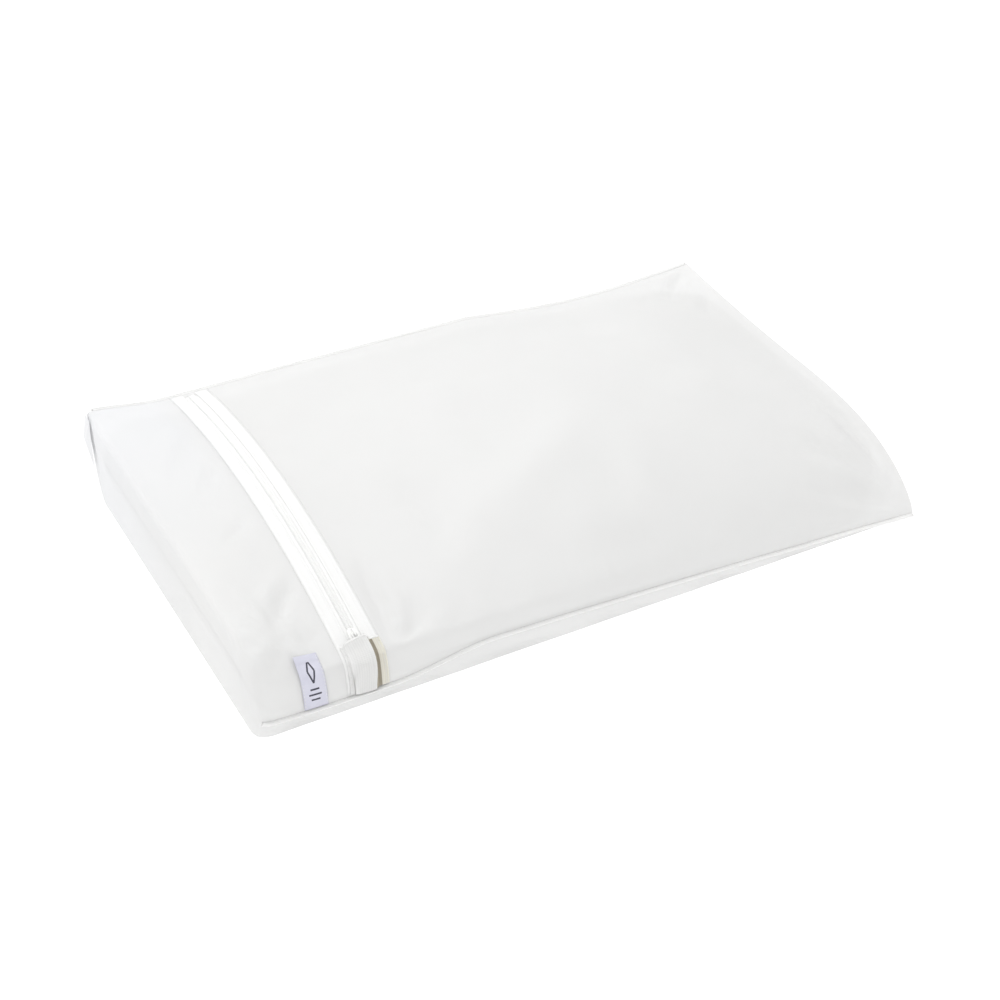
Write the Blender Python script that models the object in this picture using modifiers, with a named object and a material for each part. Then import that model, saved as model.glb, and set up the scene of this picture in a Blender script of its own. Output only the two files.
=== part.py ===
"""A bed pillow zipped into a voile protector bag.

Metres, +Z up. The origin is on the floor under the middle of the bag. X runs along the bag and Y
across it, and the zip crosses the top near the -X end. The zip lies on an arc in the YZ plane, so
the slider turns about the arc's axis, which runs along X.
"""
import math

import bmesh
import bpy
from mathutils import Euler, Vector

MM = 0.001

# The bag
LENGTH = 600 * MM
WIDTH = 362 * MM
VOILE = 0.5 * MM
CLEARANCE = 0.3 * MM

# Heights of the cover's top along the middle, and of its two long seams
CROWN_X = 60 * MM
CROWN_HEIGHT = 112 * MM
LEFT_HEIGHT = 80 * MM
FOLD_HEIGHT = 61 * MM
FRONT_SEAM_HEIGHT = {"left": 17 * MM, "zip": 15 * MM, "peak": 25.5 * MM, "fold": 4 * MM}
FRONT_PEAK_X = -105 * MM
FRONT_SEAM_FALL = 1.3
BACK_SEAM_HEIGHT = {"left": 83 * MM, "crown": 74 * MM, "fold": 69 * MM}
BACK_SEAM_SAG = 10 * MM
FRONT_SHOULDER = {"left": (9.0, 0.6), "crown": (2.0, 0.6), "fold": (3.0, 0.7)}

# Rounding of the cover's edges
END_TOP_RADIUS = 12 * MM
END_BASE_RADIUS = 4 * MM
FRONT_CORNER_RADIUS = 14 * MM
BACK_CORNER_RADIUS = 6 * MM
FRONT_BASE_REACH = 3 * MM
BACK_BASE_REACH = 18 * MM
FOLD_BASE_REACH = 110 * MM

# The zip: the arc it lies on, its tapes and its two coils
ZIP_INSET = 90.5 * MM
ZIP_FRONT_HEIGHT = 43 * MM
ZIP_BACK_HEIGHT = 75 * MM
ZIP_RISE = 27.6 * MM
ZIP_FRONT_DROP = 6 * MM
TAPE_WIDTH = 15.4 * MM
TAPE = 0.6 * MM
COIL_RADIUS = 1.0 * MM
CHAIN_SLOT = 1.2 * MM
CHAIN_END_MARGIN = 9 * MM
COIL_END_GAP = 1.1 * MM

# The slider and its pull tab
PARK_MARGIN = 23 * MM
SLIDER_LENGTH = 11 * MM
SLIDER_PLATE = 1.0 * MM
SLIDER_FLANGE = 0.9 * MM
FLANGE_LENGTH = 8.8 * MM
SLIDER_CORNER = 0.33 * MM
NECK = 0.6 * MM
NECK_LENGTH = 3.7 * MM
BRIDGE_WIDTH = 1.4 * MM
BRIDGE_LENGTH = 7 * MM
BRIDGE_ROOF = 0.9 * MM
TAB_LENGTH = 18 * MM
TAB_WIDTH = 7 * MM
TAB_THICKNESS = 1.2 * MM
TAB_BAR = 1.4 * MM
TAB_CORNER = 0.24 * MM

# The elastic garage over the parked slider's tab
GARAGE_WIDTH = 31 * MM
GARAGE_OFFSET = 1 * MM
GARAGE_LENGTH = 43 * MM
GARAGE_HEADROOM = 2.7 * MM
GARAGE_SEAM_SHARE = 0.15
GARAGE_LEVEL = 20 * MM
GARAGE_RISE_LENGTH = 12 * MM
GARAGE_THICKNESS = 1.1 * MM
GARAGE_LEFT_HEM = 3 * MM
GARAGE_RIGHT_HEM = 5 * MM
GARAGE_CREST = 0.7

# The label
LABEL_FROM_ZIP = 42.5 * MM
LABEL_WIDTH = 19 * MM
LABEL_LENGTH = 50 * MM
LABEL_THICKNESS = 0.5 * MM

# The seams' bindings
BINDING_RADIUS = 1.6 * MM

# The pillow inside
PILLOW_EDGE = 10 * MM
TICKING = 0.6 * MM
TICKING_PARTING = 0.8 * MM

# Gaps and small allowances
SLIDER_GAP = 0.4 * MM
FLANGE_GAP = 1.2 * MM
LIP_CLEARANCE = 0.8 * MM
EYE_GAP = 0.65 * MM
TAB_SIDE_GAP = 0.7 * MM
TAB_SWING = 2.5 * MM
TAPE_END = 5 * MM
TAPE_MARGIN = 6 * MM
GARAGE_START = 3 * MM
LABEL_START = 2 * MM
BINDING_START = 6 * MM
BINDING_GAP = 0.6 * MM
PILLOW_GAP = 0.7 * MM
FILL_GAP = 1.1 * MM
LAID_GAP = 0.9 * MM
FRONT_TUCK = 0.6 * MM
TUCK_END = 40 * MM
WELD = 0.02 * MM

# Sizes that follow from the others
HALF_L = LENGTH / 2
HALF_W = WIDTH / 2
ZIP_X = -HALF_L + ZIP_INSET
ZIP_FLAT = CHAIN_SLOT / 2 + TAPE_WIDTH + TAPE_MARGIN
LABEL_X = ZIP_X - LABEL_FROM_ZIP
PARK_Y = -HALF_W + PARK_MARGIN
SLIDER_WIDTH = CHAIN_SLOT + 4 * COIL_RADIUS + 2 * FLANGE_GAP + 2 * SLIDER_FLANGE
LIP_GAP = SLIDER_WIDTH + 2 * LIP_CLEARANCE
BRIDGE_EYE = TAB_THICKNESS + 2 * EYE_GAP
TAB_WINDOW_WIDTH = BRIDGE_WIDTH + 2 * TAB_SIDE_GAP
TAB_WINDOW_LENGTH = BRIDGE_LENGTH / 2 + TAB_SWING
TAPE_TOP = -VOILE - CLEARANCE
COIL_RISE = TAPE_TOP + CLEARANCE + COIL_RADIUS
PLATE_BASE = COIL_RISE + COIL_RADIUS + SLIDER_GAP
PLATE_TOP = PLATE_BASE + SLIDER_PLATE
FOOT_TOP = TAPE_TOP - TAPE - SLIDER_GAP
FOOT_BASE = FOOT_TOP - SLIDER_PLATE
GARAGE_HEIGHT = PLATE_TOP + BRIDGE_EYE + BRIDGE_ROOF + GARAGE_HEADROOM
PILLOW_DEPTH = VOILE + PILLOW_GAP
ZIP_DEPTH = PILLOW_GAP - FOOT_BASE - PILLOW_DEPTH
FILL_DEPTH = TICKING + FILL_GAP

# How finely the soft pieces are divided
ACROSS = 24
END_ROWS = 3
COIL_PARTS = 30
BINDING_PARTS = 32
BINDING_CROWDING = 1.5
SMOOTH_ANGLE = 40
TICKING_RINGS = 2
HALVES = {"top": 0, "base": 1}
END_FACE = 2


def zip_arc():
    """Centre and radius of the arc through the zip's two ends, in the YZ plane."""
    front = Vector((-HALF_W, ZIP_FRONT_HEIGHT))
    back = Vector((HALF_W, ZIP_BACK_HEIGHT))
    chord = back - front
    radius = (chord.length_squared / 4 + ZIP_RISE ** 2) / (2 * ZIP_RISE)
    up = Vector((-chord.y, chord.x)).normalized()
    centre = (front + back) / 2 - up * (radius - ZIP_RISE)
    return centre, radius


ARC_CENTRE, ARC_RADIUS = zip_arc()


def mix(a, b, share):
    return a + (b - a) * share


def ease(share):
    share = min(max(share, 0.0), 1.0)
    return share * share * (3 - 2 * share)


def quarter(distance, reach):
    """Rises from 0 at an edge to 1 at `reach` from it, along a quarter of an ellipse."""
    share = min(max(distance / reach, 0.0), 1.0)
    return math.sqrt(1 - (1 - share) ** 2)


def arc_height(y):
    return ARC_CENTRE.y + math.sqrt(ARC_RADIUS ** 2 - (y - ARC_CENTRE.x) ** 2)


def section_height(v, front, middle, back, shoulder):
    """Height of the top across the bag, from the front seam (v = -1) to the back one (v = 1)."""
    if v >= 0:
        return mix(middle, back, v * v)
    inner_power, outer_power = shoulder
    rise = max(1 - abs(v) ** inner_power, 0.0) ** outer_power
    return mix(front, middle, rise)


def front_seam_height(x):
    """The front seam rises from the zip to its peak, and falls from there to the fold."""
    if x < ZIP_X - ZIP_FLAT:
        share = ease((x + HALF_L) / (ZIP_X - ZIP_FLAT + HALF_L))
        return mix(FRONT_SEAM_HEIGHT["left"], FRONT_SEAM_HEIGHT["zip"], share)
    if x < FRONT_PEAK_X:
        start = ZIP_X + ZIP_FLAT
        share = ease((x - start) / (FRONT_PEAK_X - start))
        return mix(FRONT_SEAM_HEIGHT["zip"], FRONT_SEAM_HEIGHT["peak"], share)
    share = (x - FRONT_PEAK_X) / (HALF_L - FRONT_PEAK_X)
    return mix(FRONT_SEAM_HEIGHT["peak"], FRONT_SEAM_HEIGHT["fold"], share ** FRONT_SEAM_FALL)


def left_section(v, front):
    return section_height(v, front, LEFT_HEIGHT, BACK_SEAM_HEIGHT["left"], FRONT_SHOULDER["left"])


def zip_section(v, front):
    """The zip's arc, with a short steep drop from its front end to the front seam."""
    drop = quarter((1 + v) * HALF_W, ZIP_FRONT_DROP)
    return mix(front, arc_height(v * HALF_W), drop)


def crown_section(v, front):
    return section_height(v, front, CROWN_HEIGHT, BACK_SEAM_HEIGHT["crown"],
                          FRONT_SHOULDER["crown"])


def fold_section(v, front):
    return section_height(v, front, FOLD_HEIGHT, BACK_SEAM_HEIGHT["fold"], FRONT_SHOULDER["fold"])


def top_height(x, v):
    """Height of the cover's top at x and at the share v of the way across."""
    front = front_seam_height(x)
    if x < ZIP_X - ZIP_FLAT:
        span = ZIP_X - ZIP_FLAT + HALF_L
        return mix(left_section(v, front), zip_section(v, front), ease((x + HALF_L) / span))
    if x < ZIP_X + ZIP_FLAT:
        return zip_section(v, front)
    if x < CROWN_X:
        start = ZIP_X + ZIP_FLAT
        share = ease((x - start) / (CROWN_X - start))
        return mix(zip_section(v, front), crown_section(v, front), share)
    share = (x - CROWN_X) / (HALF_L - CROWN_X)
    sag = BACK_SEAM_SAG * math.sin(math.pi * share) * max(v, 0.0) ** 2
    return mix(crown_section(v, front), fold_section(v, front), share * share) - sag


def base_height(x, v):
    """Height of the underside: flat on the floor, turned up at the seams and at the fold, over a
    shorter reach where the fold is lower."""
    fold = fold_section(v, FRONT_SEAM_HEIGHT["fold"])
    reach = FOLD_BASE_REACH * min(fold / FOLD_HEIGHT, 1.0)
    to_fold = min((HALF_L - x) / reach, 1.0)
    to_front = quarter((1 + v) * HALF_W, FRONT_BASE_REACH)
    to_back = quarter((1 - v) * HALF_W, BACK_BASE_REACH)
    lift = 1 - (1 - (1 - to_fold) ** 2) * to_front * to_back
    return lift * top_height(x, v)


def plan_y(x, v):
    """Y at the share v of the way across, with the two left corners rounded in plan."""
    radius = FRONT_CORNER_RADIUS if v < 0 else BACK_CORNER_RADIUS
    inset = radius * (1 - quarter(x + HALF_L, radius))
    return v * (HALF_W - inset)


def top_point(x, v):
    """A point of the cover's top, whose left edge is rounded down to the end face."""
    x = min(max(x, -HALF_L), HALF_L)
    depth = top_height(x, v) - base_height(x, v)
    radius = min(END_TOP_RADIUS, depth / 2)
    drop = radius * (1 - quarter(x + HALF_L, END_TOP_RADIUS))
    return Vector((x, plan_y(x, v), top_height(x, v) - drop))


def base_point(x, v):
    """A point of the underside, whose left edge is rounded up to the end face."""
    x = min(max(x, -HALF_L), HALF_L)
    depth = top_height(x, v) - base_height(x, v)
    radius = min(END_BASE_RADIUS, depth / 2)
    lift = radius * (1 - quarter(x + HALF_L, END_BASE_RADIUS))
    return Vector((x, plan_y(x, v), base_height(x, v) + lift))


def spaced(start, stop, count):
    return [mix(start, stop, i / count) for i in range(count)]


def girth_stations():
    """X stations along the top, left to right: close together at the rounded left edge, with the
    slot's two sides at the zip's lips."""
    lip = LIP_GAP / 2
    edge = [-HALF_L + END_TOP_RADIUS * share for share in (0, 0.1, 0.4)]
    left = spaced(-HALF_L + END_TOP_RADIUS, ZIP_X - ZIP_FLAT, 4)
    tape = [ZIP_X - ZIP_FLAT, ZIP_X - lip, ZIP_X + lip, ZIP_X + ZIP_FLAT]
    body = spaced(ZIP_X + ZIP_FLAT, HALF_L - FOLD_BASE_REACH, 8)[1:]
    fold = spaced(HALF_L - FOLD_BASE_REACH, HALF_L, 7) + [HALF_L]
    return edge + left + tape + body + fold


def across_stations():
    """Shares of the way across, close together at the two seams."""
    return [-math.cos(math.pi * i / ACROSS) for i in range(ACROSS + 1)]


def wrapped_sheet(xs, vs, place, end_rows=0):
    """A grid laid round the bag, over the top, down the left end and along the underside, and sewn
    where its edges meet. place(kind, where, v) gives its points. A face's material index is the
    half that it is on."""
    end = [("end", i / (end_rows + 1)) for i in range(1, end_rows + 1)]
    rows = [("top", x) for x in reversed(xs)] + end + [("base", x) for x in xs]
    sheet = bmesh.new()
    bmesh.ops.create_grid(sheet, x_segments=len(rows) - 1, y_segments=len(vs) - 1, size=1)
    for face in sheet.faces:
        row = (face.calc_center_median().x + 1) / 2 * (len(rows) - 1)
        kinds = {rows[int(row)][0], rows[int(row) + 1][0]}
        face.material_index = HALVES.get(kinds.pop(), 0) if len(kinds) == 1 else END_FACE
    for vertex in sheet.verts:
        kind, where = rows[round((vertex.co.x + 1) / 2 * (len(rows) - 1))]
        v = vs[round((vertex.co.y + 1) / 2 * (len(vs) - 1))]
        vertex.co = place(kind, where, v)
    return sheet


def sew(sheet):
    """Join the points that meet, and face the sheet outward."""
    bmesh.ops.remove_doubles(sheet, verts=sheet.verts, dist=WELD)
    bmesh.ops.dissolve_degenerate(sheet, edges=sheet.edges, dist=WELD)
    bmesh.ops.recalc_face_normals(sheet, faces=sheet.faces)
    top = [face for face in sheet.faces if face.material_index == HALVES["top"]]
    facing = sum(face.normal.z for face in top or sheet.faces)
    if (facing < 0) == bool(top):
        bmesh.ops.reverse_faces(sheet, faces=sheet.faces)


def cover_point(kind, where, v):
    """A point of the cover: on its top or underside at x, or part of the way down its left end."""
    if kind == "end":
        return top_point(-HALF_L, v).lerp(base_point(-HALF_L, v), where)
    return top_point(where, v) if kind == "top" else base_point(where, v)


def pillow_sheet(rings, depth, parting):
    """A layer of the pillow: `rings` rows of the cover's own points in from its edges, `depth`
    under the cover, closed at half height, and with its two halves `parting` from the middle."""
    xs = girth_stations()[rings:-rings]
    vs = across_stations()[rings:-rings]

    def place(kind, x, v):
        top, base = top_point(x, v), base_point(x, v)
        to_end = quarter(min(x - xs[0], xs[-1] - x), PILLOW_EDGE)
        to_side = quarter(min(v - vs[0], vs[-1] - v) * HALF_W, PILLOW_EDGE)
        upper = top.z - depth - ZIP_DEPTH * under_zip(x)
        swell = max(upper - base.z - depth, 0.0) / 2 * to_end * to_side
        way = 1 if kind == "top" else -1
        middle = (upper + base.z + depth) / 2
        return Vector((top.x, top.y, middle + way * (swell + parting)))

    return wrapped_sheet(xs, vs, place)


def under_zip(x):
    """1 under the zip's tapes, and 0 a little way off."""
    return 1 - ease((abs(x - ZIP_X) - ZIP_FLAT) / (ZIP_FLAT / 2))


def keep_faces(sheet, wanted):
    """Delete the faces that aren't wanted."""
    unwanted = [face for face in sheet.faces if not wanted(face)]
    bmesh.ops.delete(sheet, geom=unwanted, context="FACES")


# Objects and materials

def clear_scene():
    for item in list(bpy.data.objects):
        bpy.data.objects.remove(item, do_unlink=True)


def material(name, colour, roughness, metallic=0.0):
    made = bpy.data.materials.new(name)
    made.use_nodes = True
    shader = made.node_tree.nodes["Principled BSDF"]
    shader.inputs["Base Color"].default_value = (*colour, 1.0)
    shader.inputs["Roughness"].default_value = roughness
    shader.inputs["Metallic"].default_value = metallic
    return made


def add_object(name, shape, look, collection):
    """A new object from a bmesh, which is freed."""
    for face in shape.faces:
        face.material_index = 0
    mesh = bpy.data.meshes.new(name)
    shape.to_mesh(mesh)
    shape.free()
    mesh.shade_smooth()
    mesh.set_sharp_from_angle(angle=math.radians(SMOOTH_ANGLE))
    item = bpy.data.objects.new(name, mesh)
    if look:
        mesh.materials.append(look)
    collection.objects.link(item)
    return item


def solidify(item, thickness, offset):
    """Thicken an open surface: offset -1 grows it inward and 1 outward."""
    layer = item.modifiers.new("Thickness", "SOLIDIFY")
    layer.thickness = thickness
    layer.offset = offset


def block(size, centre):
    """A box as a bmesh."""
    shape = bmesh.new()
    bmesh.ops.create_cube(shape, size=1)
    bmesh.ops.scale(shape, vec=size, verts=shape.verts)
    bmesh.ops.translate(shape, vec=centre, verts=shape.verts)
    return shape


def boolean(item, cutter, operation):
    cutter.hide_render = True
    cutter.display_type = "WIRE"
    cutter.parent = item.parent
    change = item.modifiers.new(cutter.name, "BOOLEAN")
    change.operation = operation
    change.object = cutter
    change.solver = "EXACT"


def tube(name, points, radius, look, collection):
    """A round bar along a line of points."""
    data = bpy.data.curves.new(name, "CURVE")
    data.dimensions = "3D"
    data.bevel_depth = radius
    data.bevel_resolution = 2
    data.use_fill_caps = True
    data.materials.append(look)
    spline = data.splines.new("POLY")
    spline.points.add(len(points) - 1)
    for place, point in zip(spline.points, points):
        place.co = (*point, 1.0)
    item = bpy.data.objects.new(name, data)
    collection.objects.link(item)
    return item


# Strips that lie on the cover, such as tapes and the label

def section_path(x):
    """The cover's top across the bag at x, from the front seam to the back one."""
    return [top_point(x, v) for v in across_stations()]


def walk(path, distance):
    """The point at a distance along a path, and the outward normal there."""
    walked = 0.0
    for start, stop in zip(path, path[1:]):
        step = stop - start
        if walked + step.length >= distance or stop is path[-1]:
            point = start + step * ((distance - walked) / step.length)
            return point, Vector((0, -step.z, step.y)).normalized()
        walked += step.length


def path_length(path):
    return sum((stop - start).length for start, stop in zip(path, path[1:]))


def strip(xs, distances, lift):
    """An open grid on the cover, at the given X stations and distances from the front seam, and
    lift(x, distance) above it."""
    paths = [section_path(x) for x in xs]
    shape = bmesh.new()
    bmesh.ops.create_grid(shape, x_segments=len(xs) - 1, y_segments=len(distances) - 1, size=1)
    for vertex in shape.verts:
        column = round((vertex.co.x + 1) / 2 * (len(xs) - 1))
        distance = distances[round((vertex.co.y + 1) / 2 * (len(distances) - 1))]
        point, normal = walk(paths[column], distance)
        vertex.co = point + normal * lift(xs[column], distance)
    bmesh.ops.recalc_face_normals(shape, faces=shape.faces)
    if sum(face.normal.z for face in shape.faces) < 0:
        bmesh.ops.reverse_faces(shape, faces=shape.faces)
    return shape


# The bag's pieces

def build_voile_cover(look, collection):
    """The voile, folded at both ends, with the slot between its hems open along the zip."""
    sheet = wrapped_sheet(girth_stations(), across_stations(), cover_point, END_ROWS)
    sew(sheet)

    def is_cloth(face):
        centre = face.calc_center_median()
        in_slot = abs(centre.x - ZIP_X) < LIP_GAP / 2 and abs(centre.y) < HALF_W - CHAIN_END_MARGIN
        return not (in_slot and face.normal.z > 0)

    keep_faces(sheet, is_cloth)
    cover = add_object("voile_cover", sheet, look, collection)
    solidify(cover, VOILE, -1)


def tape_rise(x, distance):
    """The tape lies just under the voile, and a little deeper where both turn down to the seam."""
    return TAPE_TOP - FRONT_TUCK * (1 - ease(distance / TUCK_END))


def build_zipper_tapes(look, collection):
    """The two tapes, under the voile's hems, from seam to seam."""
    length = path_length(section_path(ZIP_X))
    distances = [mix(TAPE_END, length - TAPE_END, (1 - v) / 2) for v in reversed(across_stations())]
    for side, name in ((-1, "zipper_tape_left"), (1, "zipper_tape_right")):
        inner = ZIP_X + side * CHAIN_SLOT / 2
        outer = inner + side * TAPE_WIDTH
        xs = sorted((inner, outer))
        shape = strip(xs, distances, tape_rise)
        solidify(add_object(name, shape, look, collection), TAPE, -1)


def arc_point(x, y, rise):
    """A point on the zip's arc, `rise` above the cover."""
    angle = math.asin((y - ARC_CENTRE.x) / ARC_RADIUS)
    radius = ARC_RADIUS + rise
    return Vector((x, ARC_CENTRE.x + radius * math.sin(angle), ARC_CENTRE.y + radius * math.cos(angle)))


def build_zipper_coils(look, collection):
    """Each coil is a plain bar of its outer size, on its tape's inner edge."""
    end = HALF_W - CHAIN_END_MARGIN - COIL_END_GAP
    ys = [mix(-end, end, i / COIL_PARTS) for i in range(COIL_PARTS + 1)]
    for side, name in ((-1, "zipper_coil_left"), (1, "zipper_coil_right")):
        x = ZIP_X + side * (CHAIN_SLOT / 2 + COIL_RADIUS)
        points = [arc_point(x, y, COIL_RISE) for y in ys]
        tube(name, points, COIL_RADIUS, look, collection)


def build_slider(look, tab_look, collection, cutters):
    """The slider, drawn at the top of the zip's arc and turned to where it is parked. Its parent is
    an empty on the arc's axis, and the pull tab's parent is an empty on the tab's own axis."""
    axis = bpy.data.objects.new("zipper_axis", None)
    axis.location = (ZIP_X, ARC_CENTRE.x, ARC_CENTRE.y)
    axis.rotation_euler = Euler((-park_angle(), 0, 0))
    collection.objects.link(axis)

    plate_middle = ARC_RADIUS + (PLATE_BASE + PLATE_TOP) / 2
    foot_middle = ARC_RADIUS + (FOOT_TOP + FOOT_BASE) / 2
    plate = block((SLIDER_WIDTH, SLIDER_LENGTH, SLIDER_PLATE), (0, 0, plate_middle))
    slider = add_object("zipper_slider", plate, look, collection)
    slider.parent = axis
    rounding = slider.modifiers.new("Corners", "BEVEL")
    rounding.width = SLIDER_CORNER
    rounding.segments = 2

    def cut(name, operation, size, centre):
        boolean(slider, add_object(name, block(size, centre), None, cutters), operation)

    cut("slider_foot", "UNION", (SLIDER_WIDTH - 2 * SLIDER_FLANGE, SLIDER_LENGTH, SLIDER_PLATE),
        (0, 0, foot_middle))
    cut("slider_neck", "UNION", (NECK, NECK_LENGTH, plate_middle - foot_middle),
        (0, (NECK_LENGTH - SLIDER_LENGTH) / 2 + SLIDER_PLATE, (plate_middle + foot_middle) / 2))
    flange_base = ARC_RADIUS + TAPE_TOP + SLIDER_GAP
    for side in (-1, 1):
        cut(f"slider_flange_{side}", "UNION",
            (SLIDER_FLANGE, FLANGE_LENGTH, plate_middle - flange_base),
            (side * (SLIDER_WIDTH - SLIDER_FLANGE) / 2, 0, (plate_middle + flange_base) / 2))
    bridge_top = ARC_RADIUS + PLATE_TOP + BRIDGE_EYE + BRIDGE_ROOF
    cut("slider_bridge", "UNION", (BRIDGE_WIDTH, BRIDGE_LENGTH, bridge_top - plate_middle),
        (0, 0, (plate_middle + bridge_top) / 2))
    eye_centre = ARC_RADIUS + PLATE_TOP + BRIDGE_EYE / 2
    cut("bridge_eye", "DIFFERENCE", (2 * BRIDGE_WIDTH, BRIDGE_LENGTH - 2 * BRIDGE_ROOF, BRIDGE_EYE),
        (0, 0, eye_centre))

    hinge = bpy.data.objects.new("pull_axis", None)
    hinge.parent = axis
    hinge.location = (0, 0, eye_centre)
    collection.objects.link(hinge)
    build_pull_tab(hinge, tab_look, collection, cutters)


def park_angle():
    return math.asin((PARK_Y - ARC_CENTRE.x) / ARC_RADIUS)


def build_pull_tab(hinge, look, collection, cutters):
    """A flat tab whose end bar turns in the bridge's eye."""
    centre_y = TAB_BAR / 2 - TAB_LENGTH / 2
    body = block((TAB_WIDTH, TAB_LENGTH, TAB_THICKNESS), (0, centre_y, 0))
    tab = add_object("pull_tab", body, look, collection)
    tab.parent = hinge
    window = block((TAB_WINDOW_WIDTH, TAB_WINDOW_LENGTH, 2 * TAB_THICKNESS),
                   (0, -TAB_BAR / 2 - TAB_WINDOW_LENGTH / 2, 0))
    boolean(tab, add_object("tab_window", window, None, cutters), "DIFFERENCE")
    rounding = tab.modifiers.new("Corners", "BEVEL")
    rounding.width = TAB_CORNER
    rounding.segments = 1


def garage_rise(x, distance):
    """How far the elastic arches over the zip: flat where it is sewn, highest right of the chain."""
    middle = ZIP_X + GARAGE_OFFSET
    left = middle - GARAGE_WIDTH / 2 + GARAGE_LEFT_HEM
    right = middle + GARAGE_WIDTH / 2 - GARAGE_RIGHT_HEM
    crest = mix(left, right, GARAGE_CREST)
    if not left < x < right:
        return LAID_GAP
    share = (x - left) / (crest - left) if x < crest else (right - x) / (right - crest)
    at_seam = mix(GARAGE_SEAM_SHARE, 1.0, ease((distance - GARAGE_LEVEL) / GARAGE_RISE_LENGTH))
    return LAID_GAP + (GARAGE_HEIGHT - LAID_GAP) * math.sin(share * math.pi / 2) * at_seam


def build_garage(look, collection):
    """The elastic band over the parked slider's tab, sewn down along both sides."""
    start = ZIP_X + GARAGE_OFFSET - GARAGE_WIDTH / 2
    xs = [start + GARAGE_WIDTH * i / 14 for i in range(15)]
    distances = [mix(GARAGE_START, GARAGE_LENGTH, i / 10) for i in range(11)]
    band = add_object("garage_elastic", strip(xs, distances, garage_rise), look, collection)
    solidify(band, GARAGE_THICKNESS, 1)


def build_label(look, collection):
    xs = [LABEL_X + LABEL_WIDTH * (i / 4 - 0.5) for i in range(5)]
    distances = [LABEL_START + LABEL_LENGTH * i / 16 for i in range(17)]
    label = add_object("woven_label", strip(xs, distances, lambda x, d: LAID_GAP), look, collection)
    solidify(label, LABEL_THICKNESS, 1)


def build_bindings(look, collection):
    """The bound edge of each long seam, just outside the cover."""
    start = -HALF_L + BINDING_START
    stop = HALF_L - BINDING_RADIUS
    count = BINDING_PARTS
    xs = [mix(start, stop, (i / count) ** BINDING_CROWDING) for i in range(count + 1)]
    for side, name in ((-1, "front_seam_binding"), (1, "back_seam_binding")):
        seam = [top_point(x, side) for x in xs]
        points = []
        for i, point in enumerate(seam):
            along = seam[min(i + 1, count)] - seam[max(i - 1, 0)]
            out = Vector((-along.y, along.x, 0)).normalized() * side
            points.append(point + out * (BINDING_RADIUS + BINDING_GAP))
        tube(name, points, BINDING_RADIUS, look, collection)


# The pillow inside

def build_ticking(look, collection):
    """The pillow's case: two halves that meet along its own seam."""
    for half, name in (("top", "ticking_top"), ("base", "ticking_bottom")):
        sheet = pillow_sheet(TICKING_RINGS, PILLOW_DEPTH + TICKING_PARTING, TICKING_PARTING)
        keep_faces(sheet, lambda face: face.material_index == HALVES[half])
        sew(sheet)
        solidify(add_object(name, sheet, look, collection), TICKING, -1)


def build_fibre_fill(look, collection):
    sheet = pillow_sheet(TICKING_RINGS + 1, PILLOW_DEPTH + FILL_DEPTH, 0.0)
    sew(sheet)
    add_object("fibre_fill", sheet, look, collection)


def main():
    clear_scene()
    bag = bpy.data.collections.new("bed_pillow")
    cutters = bpy.data.collections.new("cutters")
    for collection in (bag, cutters):
        bpy.context.scene.collection.children.link(collection)

    voile = material("voile", (0.93, 0.93, 0.94), 0.85)
    binding = material("binding", (0.94, 0.94, 0.94), 0.8)
    tape = material("zipper_tape", (0.95, 0.95, 0.94), 0.8)
    coil = material("zipper_coil", (0.94, 0.94, 0.92), 0.45)
    enamel = material("white_enamel", (0.95, 0.95, 0.94), 0.3)
    elastic = material("elastic", (0.95, 0.94, 0.91), 0.85)
    label = material("label", (0.80, 0.80, 0.87), 0.75)
    ticking = material("ticking", (0.95, 0.95, 0.95), 0.85)
    fibre = material("fibre", (0.97, 0.97, 0.97), 0.95)

    build_voile_cover(voile, bag)
    build_bindings(binding, bag)
    build_zipper_tapes(tape, bag)
    build_zipper_coils(coil, bag)
    build_slider(enamel, enamel, bag, cutters)
    build_garage(elastic, bag)
    build_label(label, bag)
    build_ticking(ticking, bag)
    build_fibre_fill(fibre, bag)


main()
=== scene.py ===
"""The looks of a bed pillow zipped into a voile protector bag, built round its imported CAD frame.

Metres, +Z up. A place on the bag is (x, v): x along it, and v across it, from -1 at the front seam
to 1 at the back one. Strips that are sewn on are placed by x and the distance from the front seam.
"""

import math
from functools import lru_cache

import bmesh
import bpy
import numpy as np
from mathutils import Matrix, Vector, noise

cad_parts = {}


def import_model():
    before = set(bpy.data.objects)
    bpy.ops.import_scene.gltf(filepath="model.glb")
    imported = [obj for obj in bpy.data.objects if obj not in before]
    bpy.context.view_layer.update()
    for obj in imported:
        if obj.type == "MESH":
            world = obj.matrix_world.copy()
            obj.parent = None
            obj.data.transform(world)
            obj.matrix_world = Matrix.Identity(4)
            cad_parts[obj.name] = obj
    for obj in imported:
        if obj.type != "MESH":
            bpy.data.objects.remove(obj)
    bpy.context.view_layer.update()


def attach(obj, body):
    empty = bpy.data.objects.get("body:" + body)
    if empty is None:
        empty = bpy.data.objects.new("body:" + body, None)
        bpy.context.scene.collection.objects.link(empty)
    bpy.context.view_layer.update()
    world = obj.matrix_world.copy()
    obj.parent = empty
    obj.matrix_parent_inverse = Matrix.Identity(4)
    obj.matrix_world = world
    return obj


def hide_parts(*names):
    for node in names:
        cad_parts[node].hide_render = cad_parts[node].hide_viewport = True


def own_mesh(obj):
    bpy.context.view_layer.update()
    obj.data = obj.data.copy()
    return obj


MM = 0.001

# The camera, on a 36 mm sensor
AZIMUTH = -28.2
ELEVATION = 35.8
DISTANCE = 1.694
LENS = 71.03
SHIFT = (-0.001, 0.005)

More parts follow.
